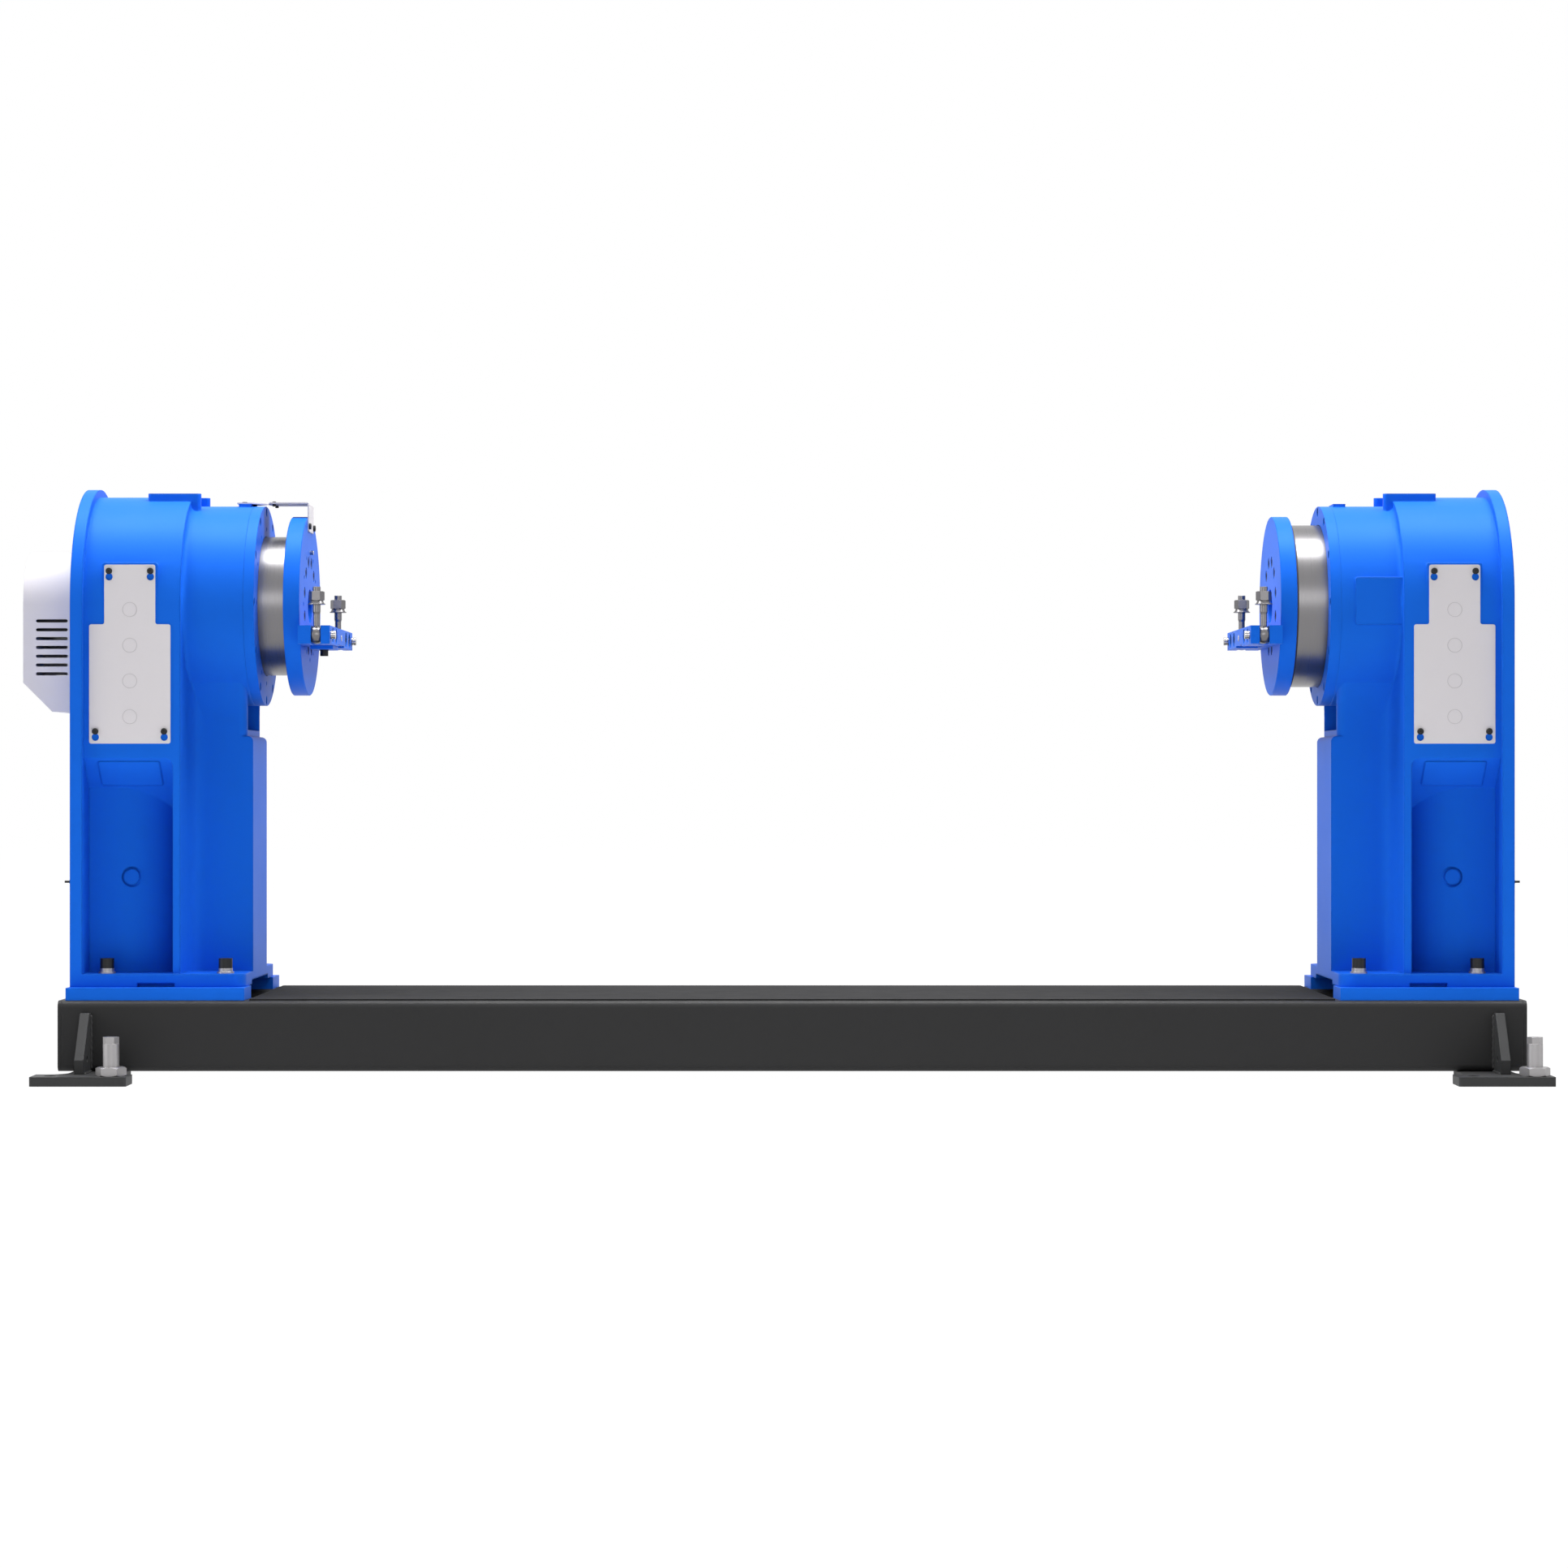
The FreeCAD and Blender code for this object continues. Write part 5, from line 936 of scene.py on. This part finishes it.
@dataclass
class FloorBeam:
    """The beam's tubes, deck, feet, gussets, levelling screws and weld beads."""

    centre_x: float = 0.040
    half_width: float = 0.310
    foot_top: float = 0.020
    gusset_top: float = 0.143
    gusset_sides: tuple[float, float] = (1.517, 1.537)
    gusset_reach: float = 0.080
    finishes: dict[str, Finish] = field(default_factory=lambda: {
        "beam_tube_front": BEAM_BLACK, "beam_tube_rear": BEAM_BLACK, "beam_end_caps": BEAM_BLACK,
        "beam_cross_members": BEAM_BLACK, "deck_cover": DECK_BLACK, "foot_plates": FOOT_BLACK,
        "foot_gussets": FOOT_BLACK, "levelling_screws": PLATED_STEEL, "levelling_lock_nuts": PLATED_STEEL,
        "sole_strips": MACHINED_BLUE, "hold_down_screws": BLACK_OXIDE, "hold_down_washers": PLATED_STEEL,
    })

    def build(self) -> None:
        """Dress the beam's nodes and add what the frame leaves out."""
        Bench.dress_nodes(self.finishes)
        self.weld_gussets()

    def weld_gussets(self) -> None:
        """Lay weld beads along both sides of each gusset, on the beam and on the foot plate."""
        beads = []
        bead = WeldBead()
        low = self.foot_top
        for end in End:
            for from_centre in self.gusset_sides:
                x = self.centre_x - end.value * from_centre
                for side in Side:
                    y = side.value * self.half_width
                    far = y + side.value * self.gusset_reach
                    label = f"weld_{end.word}_{side.word}_{len(beads)}"
                    beads.append(bead.build(label, (x, y, low + bead.leg), (x, y, self.gusset_top)))
                    beads.append(bead.build(label + "_foot", (x, y, low), (x, far, low)))
        piece = Bench.join(beads, "gusset_welds")
        Bench.fit(piece, "frame", FOOT_BLACK, "dark_paint")
        LOG.info("laid %d weld beads", len(beads))


# The two stands


@dataclass
class Stand:
    """One casting with its end ring, side covers, cover screws and earth stud."""

    end: End
    body_radius: float = 0.243
    cover_thick: float = 0.003
    cover_centre: float = 0.128
    screw_places: tuple[tuple[float, float], ...] = (
        (0.083, 1.106), (0.173, 1.106), (0.053, 0.7565), (0.203, 0.7565),
    )
    ring_heights: tuple[float, ...] = (1.0222, 0.9444, 0.8666, 0.7888)
    ring_radius: float = 0.0155
    ring_height: float = 0.0005
    stud_place: tuple[float, float] = (-0.240, 0.429)
    stud_radius: float = 0.0025
    stud_length: float = 0.022
    stud_out: float = 0.0035
    nut_radius: float = 0.0046
    nut_height: float = 0.004

    def x(self, inwards: float) -> float:
        """Return the X of a place measured inwards from the casting's outer face."""
        return self.end.rim_x + self.end.value * inwards

    def build(self) -> None:
        """Dress this stand's nodes and add its small pieces."""
        finishes = {"column": CASTING_BLUE, "side_covers": COVER_GREY, "end_ring": MACHINED_BLUE}
        Bench.dress_nodes({f"{self.end.word}_{name}": finish for name, finish in finishes.items()})
        self.add_cover_screws()
        self.add_knockouts()
        self.add_earth_stud()

    def add_cover_screws(self) -> None:
        """Put the black button screws in the covers' keyholes."""
        heads = []
        for side in Side:
            y = side.value * (self.body_radius + self.cover_thick)
            for inwards, z in self.screw_places:
                name = f"{self.end.word}_cover_screw_{len(heads)}"
                heads.append(ButtonScrew().build(name, (self.x(inwards), y, z), side.facing))
        piece = Bench.join(heads, self.end.word + "_cover_screws")
        Bench.fit(piece, "frame", BLACK_OXIDE, "black_steel")
        LOG.info("%s: %d cover screws", self.end.word, len(heads))

    def add_knockouts(self) -> None:
        """Emboss the four faint knock-out rings on each side cover, in a darker grey that paints the shade
        of their grooves.
        """
        rings = []
        for side in Side:
            y = side.value * (self.body_radius + self.cover_thick)
            for z in self.ring_heights:
                Bench.clear()
                bpy.ops.mesh.primitive_torus_add(
                    major_radius=self.ring_radius, minor_radius=self.ring_height, major_segments=72,
                    minor_segments=6, location=(self.x(self.cover_centre), y, z), rotation=Facing.FRONT.turn,
                )
                ring = Bench.settle(f"{self.end.word}_knockout_{len(rings)}")
                bpy.ops.object.shade_smooth()
                rings.append(ring)
        piece = Bench.join(rings, self.end.word + "_knockout_rings")
        Bench.fit(piece, "frame", KNOCKOUT_SHADE_GREY, "grey_paint")

    def add_earth_stud(self) -> None:
        """Stand the thin earth stud with its nut on the casting's outer face."""
        word, turn = self.end.word, self.end.outwards.turn
        centre = (self.x(-self.stud_out), *self.stud_place)
        stud = Bench.cylinder(word + "_earth_stud_rod", 20, self.stud_radius, self.stud_length, centre, turn)
        centre = (self.x(-self.nut_height / 2), *self.stud_place)
        nut = Bench.cylinder(word + "_earth_nut", HEXAGON, self.nut_radius, self.nut_height, centre, turn)
        for piece in (stud, nut):
            Bench.bevel(piece, 0.0004, 2, 40.0)
        Bench.fit(Bench.join([stud, nut], word + "_earth_stud"), "frame", BLACK_OXIDE, "black_steel")


@dataclass
class Drive:
    """The motor, its cover, the reducer, the tail's bearing pieces and the end rings' screws."""

    ring_seat: float = 0.3805
    ring_screws: ScrewCircle = ScrewCircle(SocketScrew(0.009, 0.012, 0.0058, 0.006, 0.034), radius=0.210)
    cover_screws: tuple[tuple[float, float], ...] = (
        (-0.113, 0.902), (0.113, 0.902), (-0.079, 1.120), (0.079, 1.120),
    )
    finishes: dict[str, Finish] = field(default_factory=lambda: {
        "motor_cover": COVER_GREY, "servo_motor": MOTOR_BLACK, "drive_adapter": MOTOR_BLACK,
        "reducer_case": PLAIN_STEEL, "reducer_output": PLAIN_STEEL, "tail_end_cover": COVER_GREY,
        "tail_spindle_shaft": PLAIN_STEEL, "tail_inner_races": BEARING_STEEL,
        "tail_outer_races": BEARING_STEEL, "tail_bearing_rollers": BEARING_STEEL,
        "tail_shaft_nut": BLACK_OXIDE,
    })

    def build(self) -> None:
        """Dress the drive's nodes and put the screws in both end rings."""
        Bench.dress_nodes(self.finishes)
        screws = []
        for end in End:
            seat = end.rim_x + end.value * self.ring_seat
            screws += self.ring_screws.build(end.word + "_ring_screw", seat, end.inwards)
        piece = Bench.join(screws, "end_ring_socket_screws")
        Bench.fit(piece, "frame", BLACK_OXIDE, "black_steel")
        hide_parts("end_ring_screws")
        LOG.info("%d end ring screws", len(screws))
        self.fix_end_cover()

    def fix_end_cover(self) -> None:
        """Hold the tail's end cover with four small button screws on its lip."""
        heads = [
            SMALL_BUTTON.build(f"end_cover_screw_{index}", (TAIL_RIM_X, y, z), End.TAIL.outwards)
            for index, (y, z) in enumerate(self.cover_screws)
        ]
        Bench.fit(Bench.join(heads, "tail_end_cover_screws"), "frame", BLACK_OXIDE, "black_steel")


@dataclass
class Turntable:
    """One drum and faceplate with its clamp bar and swing bolts."""

    end: End
    recess_depth: float = 0.017
    face_screws: ScrewCircle = ScrewCircle(
        SocketScrew(0.012, 0.016, 0.0079, 0.008, 0.040), radius=0.100, first=15.0
    )
    spindle_finishes: dict[str, Finish] = field(default_factory=lambda: {
        "drum": TURNED_STEEL, "faceplate": MACHINED_BLUE, "clamp_bar": MACHINED_BLUE,
        "bar_screws": BLACK_OXIDE, "pivot_pins": POLISHED_PIN,
    })
    bolt_finishes: dict[str, Finish] = field(default_factory=lambda: {
        "eye_bolt": ZINC_STEEL, "collar_washer": ZINC_STEEL, "clamp_nut": ZINC_STEEL,
    })

    def build(self) -> None:
        """Dress this turntable's nodes."""
        word = self.end.word
        Bench.dress_nodes({f"{word}_{name}": finish for name, finish in self.spindle_finishes.items()})
        if self.end is End.TAIL:
            Bench.dress_nodes({"tail_insulating_ring": INSULATOR_BLACK})
        else:
            Bench.dress_nodes({"head_index_dowel": POLISHED_PIN})
        for side in Side:
            base = f"{word}_{side.word}_"
            Bench.dress_nodes({base + name: finish for name, finish in self.bolt_finishes.items()})
        self.add_face_screws()

    def add_face_screws(self) -> None:
        """Put the socket screws in the faceplate's recesses."""
        word = self.end.word
        seat = self.end.face_x - self.end.value * self.recess_depth
        screws = self.face_screws.build(word + "_face_screw", seat, self.end.inwards)
        piece = Bench.join(screws, word + "_face_socket_screws")
        Bench.fit(piece, word + "_spindle", BLACK_OXIDE, "black_steel")
        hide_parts(word + "_faceplate_screws")


@dataclass
class ZeroPointers:
    """The pointer on the head's casting, the bracket on its faceplate and the stop block."""

    pad_screw: ButtonScrew = ButtonScrew(head_radius=0.0058, head_height=0.0032, socket_radius=0.0020)
    pad_screw_place: Point = (-1.186, 0.0, 1.270)
    pad_nut_place: Point = (-1.1626, 0.0, 1.2652)
    leg_screw_place: Point = (-1.037, 0.040, 1.2168)
    tip_bolt_place: Point = (-1.117, 0.025, 1.270)
    tip_nut_place: Point = (-1.117, 0.025, 1.2645)
    finishes: dict[str, Finish] = field(default_factory=lambda: {
        "fixed_pointer": COVER_GREY, "dial_pointer": COVER_GREY, "stop_block": MACHINED_BLUE,
        "stop_block_fasteners": BLACK_OXIDE,
    })

    def build(self) -> None:
        """Dress the pointers' nodes and add their screws."""
        Bench.dress_nodes(self.finishes)
        self.add_pad_screw()
        self.add_bracket_screws()

    def add_pad_screw(self) -> None:
        """Hold the fixed pointer with a button screw and the nut beside its pad."""
        head = self.pad_screw.build("pad_screw_head", self.pad_screw_place, Facing.UP)
        nut = self.nut("pad_nut", self.pad_nut_place, 0.0045, 0.0036)
        piece = Bench.join([head, nut], "fixed_pointer_screw")
        Bench.fit(piece, "frame", BLACK_OXIDE, "black_steel")

    def add_bracket_screws(self) -> None:
        """Put the two button screws on the bracket's leg and the two small bolts near its tip."""
        pieces = []
        for side in Side:
            label = "bracket_" + side.word
            leg, tip, nut = (
                (x, side.value * y, z)
                for x, y, z in (self.leg_screw_place, self.tip_bolt_place, self.tip_nut_place)
            )
            pieces.append(ButtonScrew().build(label + "_leg_screw", leg, Facing.RIGHT))
            pieces.append(SMALL_BUTTON.build(label + "_tip_bolt", tip, Facing.UP))
            pieces.append(self.nut(label + "_tip_nut", nut, 0.0042, 0.0050))
        piece = Bench.join(pieces, "dial_pointer_screws")
        Bench.fit(piece, "head_spindle", BLACK_OXIDE, "black_steel")

    @staticmethod
    def nut(name: str, centre: Point, radius: float, height: float) -> Piece:
        """Model a small hexagon nut.

        Args:
            name: The piece's name.
            centre: Its middle.
            radius: Distance of its corners from its axis.
            height: Its height along Z.

        Returns:
            The nut.
        """
        nut = Bench.cylinder(name, HEXAGON, radius, height, centre)
        Bench.bevel(nut, radius * 0.10)
        return nut


# Studio


@dataclass
class Studio:
    """Camera, lamps, floor and white surroundings."""

    camera_place: Point = (0.022, -8.894, 0.642)
    focal_pixels: float = 4891.0
    image_pixels: float = 1932.0
    floor_size: float = 60.0
    floor_drop: float = 0.0005
    floor_colour: Colour = (0.86, 0.86, 0.86)
    floor_glow: float = 1.05
    glow_share: float = 0.95
    room_light: float = 0.08

    def build(self) -> None:
        """Set up the whole studio."""
        bpy.context.scene.view_settings.view_transform = "Standard"
        self.add_camera()
        self.add_floor()
        self.add_world()
        self.add_lamp("key_from_above", (0.0, -0.15, 4.4), (0.0, -0.15, 0.9), (7.0, 1.6), 470.0)
        self.add_lamp("front_fill", (0.0, -7.5, 2.4), (0.0, 0.0, 0.7), (5.0, 2.5), 96.0)
        self.add_lamp("left_side", (-6.0, -2.0, 1.8), (0.0, 0.0, 0.8), (3.0, 3.0), 76.0)
        self.add_lamp("right_side", (6.0, -2.0, 1.8), (0.0, 0.0, 0.8), (3.0, 3.0), 34.0)

    def add_camera(self) -> None:
        """Place the camera level, at the photograph's distance and height."""
        lens = bpy.data.cameras.new("camera")
        lens.sensor_width = 36.0
        lens.lens = self.focal_pixels * lens.sensor_width / self.image_pixels
        lens.clip_end = 100.0
        camera = bpy.data.objects.new("camera", lens)
        camera.location = self.camera_place
        camera.rotation_euler = Facing.FRONT.turn
        bpy.context.scene.collection.objects.link(camera)
        bpy.context.scene.camera = camera

    def add_floor(self) -> None:
        """Lay the pale floor, which looks white to the camera away from the shadow."""
        Bench.clear()
        bpy.ops.mesh.primitive_plane_add(size=self.floor_size, location=(0, 0, -self.floor_drop))
        floor = Bench.settle("studio_floor")
        pale = bpy.data.materials.new("pale_floor")
        pale.use_nodes = True
        tree = pale.node_tree
        shader = tree.nodes["Principled BSDF"]
        shader.inputs["Base Color"].default_value = (*self.floor_colour, 1.0)
        shader.inputs["Roughness"].default_value = 0.9
        shader.inputs["Specular IOR Level"].default_value = 0.1
        glow = tree.nodes.new("ShaderNodeEmission")
        glow.inputs["Color"].default_value = (1.0, 1.0, 1.0, 1.0)
        glow.inputs["Strength"].default_value = self.floor_glow
        rays = tree.nodes.new("ShaderNodeLightPath").outputs
        looked_at = Nodes.calc(tree, "MAXIMUM", rays["Is Camera Ray"], rays["Is Glossy Ray"])
        share = Nodes.calc(tree, "MULTIPLY", looked_at, self.glow_share)
        mix = tree.nodes.new("ShaderNodeMixShader")
        tree.links.new(share, mix.inputs["Fac"])
        tree.links.new(shader.outputs["BSDF"], mix.inputs[1])
        tree.links.new(glow.outputs["Emission"], mix.inputs[2])
        tree.links.new(mix.outputs["Shader"], tree.nodes["Material Output"].inputs["Surface"])
        floor.data.materials.append(pale)

    def add_world(self) -> None:
        """Make the surroundings white to the camera and in reflections, and dimmer as light."""
        world = bpy.data.worlds.new("white_room")
        bpy.context.scene.world = world
        world.use_nodes = True
        tree = world.node_tree
        background = tree.nodes["Background"]
        background.inputs["Color"].default_value = (1.0, 1.0, 1.0, 1.0)
        rays = tree.nodes.new("ShaderNodeLightPath").outputs
        seen = Nodes.calc(tree, "MAXIMUM", rays["Is Camera Ray"], rays["Is Transmission Ray"])
        mirrored = Nodes.calc(tree, "MAXIMUM", seen, rays["Is Glossy Ray"])
        level = Nodes.ramp(tree, mirrored, 0.0, 1.0, self.room_light)
        tree.links.new(level, background.inputs["Strength"])

    @staticmethod
    def add_lamp(name: str, place: Point, target: Point, size: tuple[float, float], power: float) -> None:
        """Hang one soft rectangular lamp that looks at a target.

        Args:
            name: The lamp's name.
            place: Where it hangs.
            target: What it looks at.
            size: Width and height of its face.
            power: Its power in watts.
        """
        lamp = bpy.data.lights.new(name, "AREA")
        lamp.shape = "RECTANGLE"
        lamp.size, lamp.size_y = size
        lamp.energy = power
        holder = bpy.data.objects.new(name, lamp)
        holder.location = place
        direction = Vector(target) - Vector(place)
        holder.rotation_euler = direction.to_track_quat("-Z", "Y").to_euler()
        bpy.context.scene.collection.objects.link(holder)


def main() -> None:
    """Build every sub-assembly in order and report each."""
    logging.basicConfig(level=logging.INFO, format="%(message)s")
    Studio().build()
    stands = [Stand(End.HEAD), Stand(End.TAIL)]
    turntables = [Turntable(End.HEAD), Turntable(End.TAIL)]
    parts = [FloorBeam(), *stands, Drive(), *turntables, ZeroPointers()]
    for part in parts:
        part.build()
        LOG.info("built %s", type(part).__name__)


if __name__ == "__main__":
    main()
